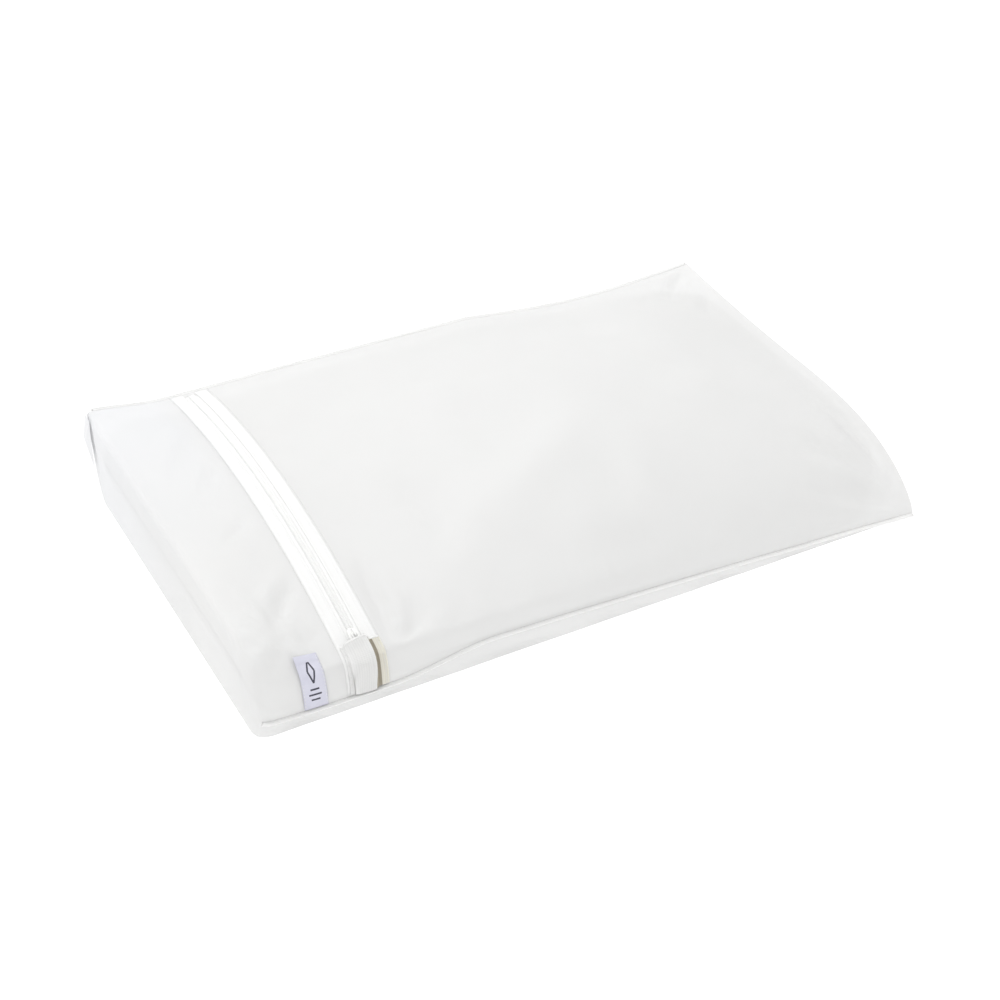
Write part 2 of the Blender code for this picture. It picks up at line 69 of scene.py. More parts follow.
# The bag, as the CAD has it
HALF_L = 300 * MM
HALF_W = 181 * MM
CROWN_X = 60 * MM
MIDDLE_HEIGHT = {"left": 80 * MM, "crown": 112 * MM, "fold": 61 * MM}
FRONT_SEAM_HEIGHT = {"left": 17 * MM, "zip": 15 * MM, "peak": 25.5 * MM, "fold": 4 * MM}
FRONT_PEAK_X = -105 * MM
FRONT_SEAM_FALL = 1.3
BACK_SEAM_HEIGHT = {"left": 83 * MM, "crown": 74 * MM, "fold": 69 * MM}
BACK_SEAM_SAG = 10 * MM
FRONT_SHOULDER = {"left": (9.0, 0.6), "crown": (2.0, 0.6), "fold": (3.0, 0.7)}
END_BASE_RADIUS = 4 * MM
FRONT_CORNER_RADIUS = 14 * MM
BACK_CORNER_RADIUS = 6 * MM
FRONT_BASE_REACH = 3 * MM
BACK_BASE_REACH = 18 * MM
FOLD_BASE_REACH = 110 * MM

# The cover's crease over its left end, sharper than the CAD's
END_TOP_RADIUS = 5 * MM

# The zip. Its place and its arc are the CAD's. The tapes sit a little higher than there.
ZIP_X = -209.5 * MM
ZIP_FLAT = 22 * MM
ZIP_FRONT_DROP = 6 * MM
LIP = 5.5 * MM
SLOT_END = 9 * MM
TAPE_WIDTH = 15.4 * MM
TAPE_TOP = -0.35 * MM
TAPE_END = 5 * MM
FRONT_TUCK = 0.6 * MM
TUCK_END = 40 * MM
ARC_CENTRE_Y = 51.453 * MM
ARC_CENTRE_Z = -523.064 * MM
ARC_RADIUS = 611.934 * MM
CHAIN_END = 171 * MM
COIL_RISE = 0.5 * MM
COIL_PITCH = 1.15 * MM
COIL_WIRE = 0.56 * MM
COIL_REACH = 0.4 * MM
HEM_WIDTH = 11.5 * MM
COIL_WIDTH = 3.1 * MM
PARK_Y = -158 * MM

# The slider and its tab: heights above the cover, and sizes
PLATE_BASE = 1.9 * MM
PLATE_TOP = 2.9 * MM
FOOT_TOP = -1.8 * MM
FOOT_BASE = -2.8 * MM
EYE_RISE = 4.15 * MM
CROWN_TOP = 6.0 * MM
SLIDER_HALF = 5.5 * MM
SLIDER_WIDTH = 9.4 * MM
TAB_REACH = 17.3 * MM
TAB_WIDTH = 7 * MM
TAB_THICKNESS = 1.12 * MM

# The garage, an elastic over the parked slider, and the other pieces sewn on. The garage and the
# label are a little shorter than in the CAD. Across the garage the colour changes twice: first to
# painted shade, for the shadow where it is tucked under, then to the cream of its sewn strip.
GARAGE_X = -208.5 * MM
GARAGE_START = 3 * MM
GARAGE_LENGTH = 42 * MM
GARAGE_LEVEL = 3 * MM
GARAGE_RISE_LENGTH = 26 * MM
GARAGE_SEAM_SHARE = 0.3
GARAGE_PAINTED_SHADE = 24.2 * MM
GARAGE_STRIP = 33.6 * MM
LABEL_X = -252 * MM
LABEL_WIDTH = 19 * MM
LABEL_START = 2 * MM
LABEL_LENGTH = 43 * MM
LAID_GAP = 0.9 * MM
BINDING_START = 6 * MM

# The pillow inside, which reaches nearer to the fold than in the CAD
PILLOW_LEFT = 5 * MM
PILLOW_RIGHT = 9 * MM
PILLOW_SIDE = 6 * MM
PILLOW_GAP = 2.2 * MM
PILLOW_CORNER = 62 * MM
PILLOW_LEFT_CORNER = 16 * MM

# Soft creases in the cover's top, from end to end in mm, with half-width and rise. Below zero is
# a valley.
CREASES = (
    # the broad swell that runs from the middle to the front seam, and the hollows beside it
    ((30, -55), (-130, -145), 24, 6.0),
    ((-112, -40), (-98, -112), 17, -4.8),
    ((42, -80), (50, -140), 16, -2.6),
    ((66, -80), (82, -140), 18, 1.8),
    ((-20, -158), (60, -162), 11, -3.9),
    ((-60, 40), (-10, 20), 22, 3.3),
    ((110, 60), (150, 90), 20, -2.7),
    ((120, -40), (190, -60), 24, 3.0),
    # beside the zip, above the garage and the label
    ((-176, -108), (-184, -172), 6, -6.1),
    ((-164, -118), (-172, -176), 6, 3.5),
    ((-231, -92), (-252, -126), 4, -3.2),
    ((-240, -86), (-263, -122), 5, 2.7),
    ((-236, 48), (-252, 20), 5, -2.4),
    ((-238, -20), (-262, -44), 6, -2.2),
    ((-243, 120), (-275, 60), 9, 2.7),
    # out from the near corner at the fold
    ((290, -172), (228, -122), 5, -4.6),
    ((284, -158), (236, -104), 4, 3.0),
    ((288, -175), (196, -156), 5, -4.9),
    ((276, -170), (206, -138), 4, 3.0),
    ((293, -150), (262, -84), 5, -3.5),
    ((262, -178), (168, -172), 4, -3.5),
    # out from the far corner at the fold
    ((288, 168), (240, 128), 6, -3.0),
    ((292, 140), (262, 80), 7, -2.4),
)

# The lengths over which the cover comes free of its seams, its zip, its fold and its left end, in
# mm. zip_start is how far inside the zip's flat band that begins.
LUMP_REACH = {"seam": 30, "zip_start": 0, "zip": 25, "fold": 25, "end": 16}
CREASE_REACH = {"seam": 14, "zip_start": 3, "zip": 7, "fold": 10, "end": 12}

# Where the cloth is slack and crumples: the place and how far from it, in mm
SLACK_PLACES = ((300, -181, 150), (300, 181, 80), (-185, -181, 75), (-262, -150, 60))
CRUMPLE = 6.5 * MM

# The cover's cloth and its simulation
GIRTH_STEP = 5.5 * MM
ACROSS_STEP = 5.5 * MM
SPARE_CLOTH = 0.025
CLOTH_PRESSURE = 0.3
CLOTH_BENDING = 0.05
CLOTH_FRAMES = 18
MOST_OUT = 6 * MM
MOST_IN = 1.5 * MM
MOST_ALONG = 3 * MM

# Threads
VOILE_THREAD = 0.45 * MM
STITCH_LENGTH = 2.2 * MM
STITCH_PITCH = 3.0 * MM
STITCH_WIDTH = 0.4 * MM


# The shape of the bag

def mix(a, b, share):
    return a + (b - a) * share


def ease(share):
    share = min(max(share, 0.0), 1.0)
    return share * share * (3 - 2 * share)


def quarter(distance, reach):
    """Rises from 0 at an edge to 1 at `reach` from it, along a quarter of an ellipse."""
    share = min(max(distance / reach, 0.0), 1.0)
    return math.sqrt(1 - (1 - share) ** 2)


def steps(start, stop, step):
    count = max(1, round((stop - start) / step))
    return [mix(start, stop, i / count) for i in range(count + 1)]


def turns(count):
    return [2 * math.pi * k / count for k in range(count)]


def squared(turn, power):
    """Cosine and sine of a turn, pushed out from a circle towards a square by a power under 1."""
    return [math.copysign(abs(part) ** power, part) for part in (math.cos(turn), math.sin(turn))]


def unit(vector):
    return vector / max(np.linalg.norm(vector), 1e-12)


def distances_along(points):
    """The distance walked to each point of a line."""
    lengths = np.linalg.norm(np.diff(points, axis=0), axis=1)
    return np.concatenate([[0.0], np.cumsum(lengths)])


def point_at(distance, walked, points):
    return np.array([np.interp(distance, walked, column) for column in points.T])


def arc_height(y):
    return ARC_CENTRE_Z + math.sqrt(ARC_RADIUS ** 2 - (y - ARC_CENTRE_Y) ** 2)


def bag_section(name, v, front):
    """Height of the top across the bag at its left end, its crown or its fold."""
    middle, back = MIDDLE_HEIGHT[name], BACK_SEAM_HEIGHT[name]
    if v >= 0:
        return mix(middle, back, v * v)
    inner_power, outer_power = FRONT_SHOULDER[name]
    rise = max(1 - abs(v) ** inner_power, 0.0) ** outer_power
    return mix(front, middle, rise)


def front_seam_height(x):
    """The front seam rises from the zip to its peak, and falls from there to the fold."""
    if x < ZIP_X - ZIP_FLAT:
        share = ease((x + HALF_L) / (ZIP_X - ZIP_FLAT + HALF_L))
        return mix(FRONT_SEAM_HEIGHT["left"], FRONT_SEAM_HEIGHT["zip"], share)
    if x < FRONT_PEAK_X:
        start = ZIP_X + ZIP_FLAT
        share = ease((x - start) / (FRONT_PEAK_X - start))
        return mix(FRONT_SEAM_HEIGHT["zip"], FRONT_SEAM_HEIGHT["peak"], share)
    share = (x - FRONT_PEAK_X) / (HALF_L - FRONT_PEAK_X)
    return mix(FRONT_SEAM_HEIGHT["peak"], FRONT_SEAM_HEIGHT["fold"], share ** FRONT_SEAM_FALL)


def zip_section(v, front):
    """The zip's arc, with a short steep drop from its front end to the front seam."""
    drop = quarter((1 + v) * HALF_W, ZIP_FRONT_DROP)
    return mix(front, arc_height(v * HALF_W), drop)


def top_height(x, v):
    """Height of the cover's top at x and at the share v of the way across."""
    front = front_seam_height(x)
    if x < ZIP_X - ZIP_FLAT:
        span = ZIP_X - ZIP_FLAT + HALF_L
        return mix(bag_section("left", v, front), zip_section(v, front), ease((x + HALF_L) / span))
    if x < ZIP_X + ZIP_FLAT:
        return zip_section(v, front)
    if x < CROWN_X:
        start = ZIP_X + ZIP_FLAT
        share = ease((x - start) / (CROWN_X - start))
        return mix(zip_section(v, front), bag_section("crown", v, front), share)
    share = (x - CROWN_X) / (HALF_L - CROWN_X)
    sag = BACK_SEAM_SAG * math.sin(math.pi * share) * max(v, 0.0) ** 2
    return mix(bag_section("crown", v, front), bag_section("fold", v, front), share * share) - sag


def base_height(x, v):
    fold = bag_section("fold", v, FRONT_SEAM_HEIGHT["fold"])
    reach = FOLD_BASE_REACH * min(fold / MIDDLE_HEIGHT["fold"], 1.0)
    to_fold = min((HALF_L - x) / reach, 1.0)
    to_front = quarter((1 + v) * HALF_W, FRONT_BASE_REACH)
    to_back = quarter((1 - v) * HALF_W, BACK_BASE_REACH)
    lift = 1 - (1 - (1 - to_fold) ** 2) * to_front * to_back
    return lift * top_height(x, v)


def plan_y(x, v):
    radius = FRONT_CORNER_RADIUS if v < 0 else BACK_CORNER_RADIUS
    inset = radius * (1 - quarter(x + HALF_L, radius))
    return v * (HALF_W - inset)


def end_rounding(x, v, radius):
    """How far the top or the underside rounds off towards the other at the left end."""
    depth = top_height(x, v) - base_height(x, v)
    return min(radius, depth / 2) * (1 - quarter(x + HALF_L, radius))


def top_point(x, v):
    x = min(max(x, -HALF_L), HALF_L)
    return Vector((x, plan_y(x, v), top_height(x, v) - end_rounding(x, v, END_TOP_RADIUS)))


def base_point(x, v):
    x = min(max(x, -HALF_L), HALF_L)
    return Vector((x, plan_y(x, v), base_height(x, v) + end_rounding(x, v, END_BASE_RADIUS)))


# Places on the cover's top

@lru_cache(maxsize=None)
def shares_across():
    """Shares of the way across, close together where the cover turns down to its two seams."""
    def turn(reach, count):
        return [reach * (1 - math.cos(math.pi / 2 * i / count)) for i in range(count)]

    front = turn(FRONT_BASE_REACH, 6) + [3 * MM, 4.5 * MM, 6.5 * MM, 9 * MM]
    back = turn(5 * MM, 4) + [5 * MM, 8 * MM]
    start, stop = front[-1], 2 * HALF_W - back[-1]
    count = round((stop - start) / ACROSS_STEP)
    middle = [mix(start, stop, i / count) for i in range(1, count)]
    places = front + middle + [2 * HALF_W - place for place in reversed(back)]
    return tuple(place / HALF_W - 1 for place in places)


@lru_cache(maxsize=None)
def section_path(x):
    """The cover's top across the bag at x, with the distance walked to each point."""
    points = np.array([top_point(x, v) for v in shares_across()])
    return points, distances_along(points)


def laid(x, distance, lift=0.0):
    """A point on the cover's top, `lift` above it, and the outward direction there."""
    points, walked = section_path(round(x, 6))
    if distance < 0:
        distance = walked[-1] + distance
    here = point_at(distance, walked, points)
    step = (point_at(distance + 1.5 * MM, walked, points)
            - point_at(distance - 1.5 * MM, walked, points))
    normal = np.array((0.0, -step[2], step[1]))
    normal /= np.linalg.norm(normal)
    return here + normal * lift, normal


def path_length(x):
    return section_path(round(x, 6))[1][-1]


# Meshes

def link_object(name, data):
    item = bpy.data.objects.new(name, data)
    bpy.context.scene.collection.objects.link(item)
    return item


def mesh_object(name, points, faces, look, uvs=None):
    """A new smooth-shaded mesh. uvs has one pair for each point."""
    mesh = bpy.data.meshes.new(name)
    mesh.from_pydata([tuple(p) for p in points], [], faces)
    mesh.materials.append(look)
    if uvs is not None:
        layer = mesh.uv_layers.new(name="UVMap")
        corners = np.zeros(len(mesh.loops), dtype=np.int32)
        mesh.loops.foreach_get("vertex_index", corners)
        layer.data.foreach_set("uv", np.asarray(uvs, dtype=np.float32)[corners].ravel())
    mesh.shade_smooth()
    return link_object(name, mesh)


def grid_faces(rows, columns, start=0):
    return [(start + i * columns + j, start + i * columns + j + 1,
             start + (i + 1) * columns + j + 1, start + (i + 1) * columns + j)
            for i in range(rows - 1) for j in range(columns - 1)]


def grid_object(name, grid, look, uvs=None):
    """A sheet from rows of points, all of one length."""
    rows, columns = len(grid), len(grid[0])
    points = [p for row in grid for p in row]
    flat = [uv for row in uvs for uv in row] if uvs is not None else None
    return mesh_object(name, points, grid_faces(rows, columns), look, flat)


def strip(name, columns, distances, place, look):
    """A sheet laid on the cover's top. place(column, distance) is a point of it."""
    grid = [[place(column, d) for column in columns] for d in distances]
    uvs = [[(column, d) for column in columns] for d in distances]
    return grid_object(name, grid, look, uvs)


def solidify(item, thickness, offset):
    layer = item.modifiers.new("Thickness", "SOLIDIFY")
    layer.thickness = thickness
    layer.offset = offset


def subdivide(item, levels=1):
    layer = item.modifiers.new("Subdivision", "SUBSURF")
    layer.levels = levels
    layer.render_levels = levels


def tube_faces(rings, sides, start=0):
    """Faces that join rings of points in turn, with a cap at both ends."""
    faces = []
    last = start + (rings - 1) * sides
    for low in range(start, last, sides):
        for k in range(sides):
            nxt = (k + 1) % sides
            faces.append((low + k, low + nxt, low + sides + nxt, low + sides + k))
    faces.append(tuple(reversed(range(start, start + sides))))
    faces.append(tuple(range(last, last + sides)))
    return faces


def sweep(name, path, ups, profile, look):
    """A closed profile of (out, up) offsets carried along a path. ups gives up at each point, and
    profile may be a function of the point's index."""
    path = np.asarray(path)
    points, uvs = [], []
    walked = 0.0
    for i, (point, up) in enumerate(zip(path, ups)):
        along = unit(path[min(i + 1, len(path) - 1)] - path[max(i - 1, 0)])
        out = unit(np.cross(up, along))
        lift = unit(np.cross(along, out))
        walked += np.linalg.norm(point - path[max(i - 1, 0)])
        section = profile(i) if callable(profile) else profile
        for k, (a, b) in enumerate(section):
            points.append(point + out * a + lift * b)
            uvs.append((walked, k / len(section)))
    faces = tube_faces(len(path), len(section))
    return mesh_object(name, points, faces, look, uvs)


def ring(radius, sides, flatness=1.0):
    """A round or flattened profile."""
    return [(radius * math.cos(t), radius * flatness * math.sin(t)) for t in turns(sides)]


def stitch_row(name, line, look, pitch=STITCH_PITCH, length=STITCH_LENGTH, width=STITCH_WIDTH):
    """A row of lockstitches along (point, normal) pairs: short threads that dip in at both ends."""
    places = np.array([p for p, n in line])
    normals = np.array([n for p, n in line])
    walked = distances_along(places)
    rings, sides = 5, 6
    points, faces = [], []
    for index in range(int(walked[-1] // pitch)):
        middle = (index + 0.5) * pitch
        start = len(points)
        for i in range(rings):
            share = 2 * i / (rings - 1) - 1
            distance = middle + share * length / 2
            point = point_at(distance, walked, places)
            normal = unit(point_at(distance, walked, normals))
            along = unit(point_at(distance + 0.2 * MM, walked, places) - point)
            side = unit(np.cross(normal, along))
            swell = math.sqrt(max(1 - share * share, 0.06))
            for turn in turns(sides):
                offset = side * math.cos(turn) + normal * (math.sin(turn) + 0.4)
                points.append(point + offset * width / 2 * swell)
        faces += tube_faces(rings, sides, start)
    return mesh_object(name, points, faces, look)


# Materials

class Look:
    """A Principled material that is built up node by node."""

    def __init__(self, name, roughness, **sockets):
        self.material = bpy.data.materials.new(name)
        self.material.use_nodes = True
        self.tree = self.material.node_tree
        self.shader = self.tree.nodes["Principled BSDF"]
        self.shader.inputs["Roughness"].default_value = roughness
        for socket, value in sockets.items():
            self.shader.inputs[socket.replace("_", " ")].default_value = value

    def node(self, kind, inputs=None, **settings):
        made = self.tree.nodes.new("ShaderNode" + kind)
        for key, value in settings.items():
            setattr(made, key, value)
        for socket, value in (inputs or {}).items():
            if hasattr(value, "is_output"):
                self.tree.links.new(value, made.inputs[socket])
            else:
                made.inputs[socket].default_value = value
        return made

    def math(self, operation, a, b=0.0, c=0.0):
        return self.node("Math", {0: a, 1: b, 2: c}, operation=operation).outputs[0]

    def coordinates(self, kind):
        return self.node("TexCoord").outputs[kind]

    def noise(self, vector, scale, detail=3.0, roughness=0.5):
        inputs = {"Vector": vector, "Scale": scale, "Detail": detail, "Roughness": roughness}
        return self.node("TexNoise", inputs).outputs["Fac"]

    def blend(self, first, second, share):
        """A colour between two, each an (r, g, b) or a socket, by a share from nodes."""
        first, second = (colour if hasattr(colour, "is_output") else (*colour, 1.0)
                         for colour in (first, second))
        return self.node("Mix", {"Factor": share, 6: first, 7: second}, data_type="RGBA").outputs[2]

    def paint(self, colour):
        self.tree.links.new(colour, self.shader.inputs["Base Color"])

    def ramp(self, value, start, stop):
        """0 at start and 1 at stop, held beyond both."""
        inputs = {"Value": value, "From Min": start, "From Max": stop}
        return self.node("MapRange", inputs).outputs[0]

    def bump(self, *layers):
        """Layers of (height, distance), one over the other."""
        normal = None
        for height, distance in layers:
            inputs = {"Height": height, "Distance": distance, "Strength": 1.0}
            if normal is not None:
                inputs["Normal"] = normal
            normal = self.node("Bump", inputs).outputs[0]
        self.tree.links.new(normal, self.shader.inputs["Normal"])

    def rough(self, share, low, high):
        value = self.node("MapRange", {"Value": share, "To Min": low, "To Max": high}).outputs[0]
        self.tree.links.new(value, self.shader.inputs["Roughness"])

    def weave(self, vector, thread, over=1):
        """Height of a weave of round threads: warp and weft pass over each other in turn."""
        split = self.node("SeparateXYZ", {0: vector})
        warp_at = self.math("DIVIDE", split.outputs[0], thread)
        weft_at = self.math("DIVIDE", split.outputs[1], thread)
        warp = self.math("SINE", self.math("MULTIPLY", self.math("FRACT", warp_at), math.pi))
        weft = self.math("SINE", self.math("MULTIPLY", self.math("FRACT", weft_at), math.pi))
        cell = self.math("ADD", self.math("FLOOR", warp_at), self.math("FLOOR", weft_at))
        turn = self.math("MODULO", self.math("DIVIDE", cell, float(over)), 2.0)
        up = self.math("GREATER_THAN", self.math("ABSOLUTE", turn), 0.99)
        lower = self.math("MULTIPLY_ADD", up, -0.5, 1.0)
        upper = self.math("MULTIPLY_ADD", up, 0.5, 0.5)
        warp, weft = self.math("MULTIPLY", warp, upper), self.math("MULTIPLY", weft, lower)
        return self.math("MAXIMUM", warp, weft)


def voile_look(name, alpha, light, dark):
    """Fine sheer voile, faintly lavender left of the zip towards the back."""
    look = Look(name, 0.62, Alpha=alpha, Sheen_Weight=0.12, Sheen_Roughness=0.4)
    cloth, place = look.coordinates("UV"), look.coordinates("Object")
    plain = look.blend(light, dark, look.noise(place, 9.0, 4.0))
    split = look.node("SeparateXYZ", {0: place})
    to_left = look.ramp(split.outputs[0], -0.215, -0.245)
    to_back = look.ramp(split.outputs[1], -0.06, 0.12)
    tinted = look.math("MULTIPLY", look.math("MULTIPLY", to_left, to_back), 0.5)
    look.paint(look.blend(plain, (0.885, 0.895, 0.925), tinted))
    look.rough(look.noise(place, 30.0), 0.55, 0.7)
    slub = look.noise(look.node("Mapping", {0: cloth, 3: (90.0, 1400.0, 1.0)}).outputs[0], 1.0, 2.0)
    look.bump((look.weave(cloth, VOILE_THREAD), 0.05 * MM), (slub, 0.08 * MM),
              (look.noise(place, 60.0, 3.0), 0.25 * MM))
    return look.material


def woven_look(name, light, dark, thread, over=1, roughness=0.75, relief=0.12):
    look = Look(name, roughness, Sheen_Weight=0.1)
    cloth, place = look.coordinates("UV"), look.coordinates("Object")
    weave = look.weave(cloth, thread, over)
    share = look.math("MULTIPLY_ADD", look.noise(place, 120.0), 0.5,
                      look.math("MULTIPLY", weave, 0.6))
    look.paint(look.blend(dark, light, share))
    look.bump((weave, relief * MM), (look.noise(place, 220.0), 0.08 * MM))
    return look.material


def elastic_look():
    """Ribbed elastic: off-white on its arched face, with painted shade where it is tucked under, for
    the shadow inside that fold, and cream on the sewn strip to the right."""
    look = Look("elastic", 0.8, Sheen_Weight=0.1)
    cloth, place = look.coordinates("UV"), look.coordinates("Object")
    across = look.node("SeparateXYZ", {0: cloth}).outputs[0]
    weave = look.weave(cloth, 0.55 * MM)
    shade = look.blend((0.78, 0.78, 0.77), (0.88, 0.88, 0.87), weave)
    # The first band is painted shade, dark brown, for the shadow inside the fold tucked under the
    # crest and on the strip just beside it. The second is the strip's cream.
    for start, light, dark in ((GARAGE_PAINTED_SHADE, (0.42, 0.38, 0.30), (0.30, 0.26, 0.20)),
                               (GARAGE_STRIP, (0.90, 0.88, 0.80), (0.78, 0.75, 0.64))):
        past = look.ramp(across, start, start + 0.8 * MM)
        shade = look.blend(shade, look.blend(dark, light, weave), past)
    look.paint(shade)
    look.bump((weave, 0.12 * MM), (look.noise(place, 220.0), 0.08 * MM))
    return look.material


def thread_look(name, light, dark):
    look = Look(name, 0.6, Sheen_Weight=0.15)
    place = look.coordinates("Object")
    twist = look.node("TexWave", {"Vector": place, "Scale": 900.0, "Distortion": 1.5},
                      bands_direction="DIAGONAL").outputs["Fac"]
    look.paint(look.blend(dark, light, twist))
    look.bump((twist, 0.05 * MM))
    return look.material


def plastic_look(name, light, dark, roughness, coat):
    look = Look(name, roughness, Coat_Weight=coat, Coat_Roughness=0.15)
    place = look.coordinates("Object")
    look.paint(look.blend(light, dark, look.noise(place, 160.0, 4.0)))
    look.rough(look.noise(place, 400.0), roughness - 0.06, roughness + 0.08)
    look.bump((look.noise(place, 700.0, 2.0), 0.03 * MM))
    return look.material


def fabric_looks():
    white, shade = (0.93, 0.93, 0.915), (0.82, 0.82, 0.81)
    return {
        "voile": voile_look("voile", 0.80, (0.89, 0.89, 0.885), (0.845, 0.845, 0.84)),
        # The corner fold's voile is darker grey as painted shade, for the shadow it stands in.
        "fold": voile_look("voile_fold_painted_shade", 0.97, (0.74, 0.74, 0.735), (0.66, 0.66, 0.655)),
        "hem": voile_look("voile_hem", 0.90, (0.96, 0.96, 0.955), (0.93, 0.93, 0.925)),
        "binding": woven_look("binding", (0.97, 0.97, 0.96), (0.92, 0.92, 0.91), 0.6 * MM),
        "tape": woven_look("zipper_tape", (0.97, 0.97, 0.965), (0.92, 0.92, 0.915), 0.7 * MM, 2),
        "coil": plastic_look("zipper_coil", (0.97, 0.97, 0.965), (0.94, 0.94, 0.93), 0.35, 0.1),
        "enamel": plastic_look("white_enamel", (0.93, 0.93, 0.92), (0.90, 0.90, 0.885), 0.25, 0.5),
        "elastic": elastic_look(),
        "label": woven_look("label", (0.76, 0.76, 0.855), (0.57, 0.57, 0.69), 0.4 * MM, 3, 0.5),
        "ink": woven_look("label_mark", (0.10, 0.10, 0.13), (0.03, 0.03, 0.05), 0.4 * MM, 3, 0.6),
        "ticking": woven_look("ticking", white, shade, 0.5 * MM),
        "thread": thread_look("sewing_thread", (0.95, 0.95, 0.94), (0.80, 0.80, 0.80)),
    }


# Cloth

def add_cloth(item, held):
    """The cloth modifier. held is each point's pin weight."""
    group = item.vertex_groups.new(name="held")
    for index, weight in enumerate(held):
        group.add([index], weight, "REPLACE")
    cloth = item.modifiers.new("Cloth", "CLOTH")
    settings = cloth.settings
    settings.quality = 6
    settings.mass = 0.1
    settings.tension_stiffness = 15
    settings.compression_stiffness = 15
    settings.shear_stiffness = 4
    settings.bending_stiffness = CLOTH_BENDING
    settings.vertex_group_mass = "held"
    settings.pin_stiffness = 1.0
    settings.shrink_min = -SPARE_CLOTH
    settings.effector_weights.gravity = 0.0
    settings.use_pressure = True
    settings.uniform_pressure_force = CLOTH_PRESSURE
    cloth.point_cache.frame_start = 1
    cloth.point_cache.frame_end = CLOTH_FRAMES
    return cloth


def simulate(item, held):
    """Let a mesh settle as cloth, then move each point as the cloth moved, but no further than the
    caps."""
    scene = bpy.context.scene
    cloth = add_cloth(item, held)
    mesh = item.data
    rest = points_of(mesh)
    normals = np.array([v.normal for v in mesh.vertices])
    for frame in range(1, CLOTH_FRAMES + 1):
        scene.frame_set(frame)
    settled = item.evaluated_get(bpy.context.evaluated_depsgraph_get()).to_mesh()
    moved = points_of(settled) - rest
    item.modifiers.remove(cloth)
    scene.frame_set(1)
    item.vertex_groups.clear()
    out = (moved * normals).sum(axis=1, keepdims=True)
    along = moved - normals * out
    far = np.linalg.norm(along, axis=1, keepdims=True)
    along *= np.minimum(1, MOST_ALONG / np.maximum(far, 1e-9))
    free = 1 - np.array(held)[:, None]
    place_points(mesh, rest + free * (along + normals * np.clip(out, -MOST_IN, MOST_OUT)))


def points_of(mesh):
    points = np.zeros(len(mesh.vertices) * 3)
    mesh.vertices.foreach_get("co", points)
    return points.reshape(-1, 3)


def place_points(mesh, points):
    mesh.vertices.foreach_set("co", np.asarray(points, dtype=np.float32).ravel())
    mesh.update()


# The voile cover

def lumps(x, y):
    """How far the cover swells or sinks over the pillow's soft lumps."""
    broad = noise.noise(Vector((x * 9.0 + 3.1, y * 9.0 + 1.7, 0.4)))
    fine = noise.noise(Vector((x * 24.0 + 8.2, y * 24.0 - 2.3, 5.1)))
    return 3.2 * MM * broad + 1.5 * MM * fine


def creases(x, y):
    """How far the cover's soft creases lift or sink it. Each one is bent a little by noise."""
    bend = 5 * MM * noise.noise(Vector((x * 20.0, y * 20.0, 9.1)))
    place = Vector((x + bend, y - bend))
    total = 0.0
    for start, stop, half_width, rise in CREASES:
        start, stop = Vector(start) * MM, Vector(stop) * MM
        span = stop - start
        share = min(max((place - start).dot(span) / span.length_squared, 0.0), 1.0)
        aside = (place - start - span * share).length / (half_width * MM)
        if aside < 3.0:
            fade = 0.35 + 0.65 * math.sin(math.pi * share)
            total += rise * MM * fade * math.exp(-aside * aside)
    return total


def pucker(x, distance):
    """Small gathers that run in from a seam and fade."""
    ripple = noise.noise(Vector((x * 70.0, 2.3, 7.7)))
    ripple += 0.5 * noise.noise(Vector((x * 160.0, 4.1, 1.2)))
    return 1.5 * MM * ripple * ease(distance / (9 * MM)) * (1 - ease(distance / (55 * MM)))


def freedom(x, v, reach):
    """0 where the cover is sewn or lies flat under a sewn-on piece, and 1 where it is free."""
    to_seam = ease((1 - abs(v)) * HALF_W / (reach["seam"] * MM))
    to_zip = ease((abs(x - ZIP_X) - ZIP_FLAT + reach["zip_start"] * MM) / (reach["zip"] * MM))
    to_fold = ease((HALF_L - x) / (reach["fold"] * MM))
    to_end = ease((x + HALF_L) / (reach["end"] * MM))
    return to_seam * to_zip * to_fold * to_end


def crumple(x, y):
    """Folds that fan out from the places where the cloth is slack."""
    total = 0.0
    for corner_x, corner_y, reach in SLACK_PLACES:
        away = Vector((x - corner_x * MM, y - corner_y * MM))
        near = ease(1 - away.length / (reach * MM))
        if near > 0:
            turn = math.atan2(away.y, away.x)
            ripple = noise.noise(Vector((turn * 4.5, away.length * 14.0, corner_x)))
            ripple += 0.5 * noise.noise(Vector((turn * 11.0, away.length * 22.0, corner_y)))
            total += near * ripple
    return CRUMPLE * total


def girth_rows():
    """(kind, place) of each row of the cover, from the fold over the top, down the left end and
    back along the underside."""
    edge = [END_TOP_RADIUS * (1 - math.cos(math.pi / 2 * i / 7)) - HALF_L for i in range(7)]

    def span(start, stop):
        count = max(1, round((stop - start) / GIRTH_STEP))
        return [mix(start, stop, i / count) for i in range(count)]

    xs = edge + span(END_TOP_RADIUS - HALF_L, ZIP_X - LIP) + [ZIP_X - LIP, ZIP_X, ZIP_X + LIP]
    xs += span(ZIP_X + LIP + GIRTH_STEP, HALF_L) + [HALF_L]
    end = [("end", i / 13) for i in range(1, 13)]
    return [("top", x) for x in reversed(xs)] + end + [("base", x) for x in xs]


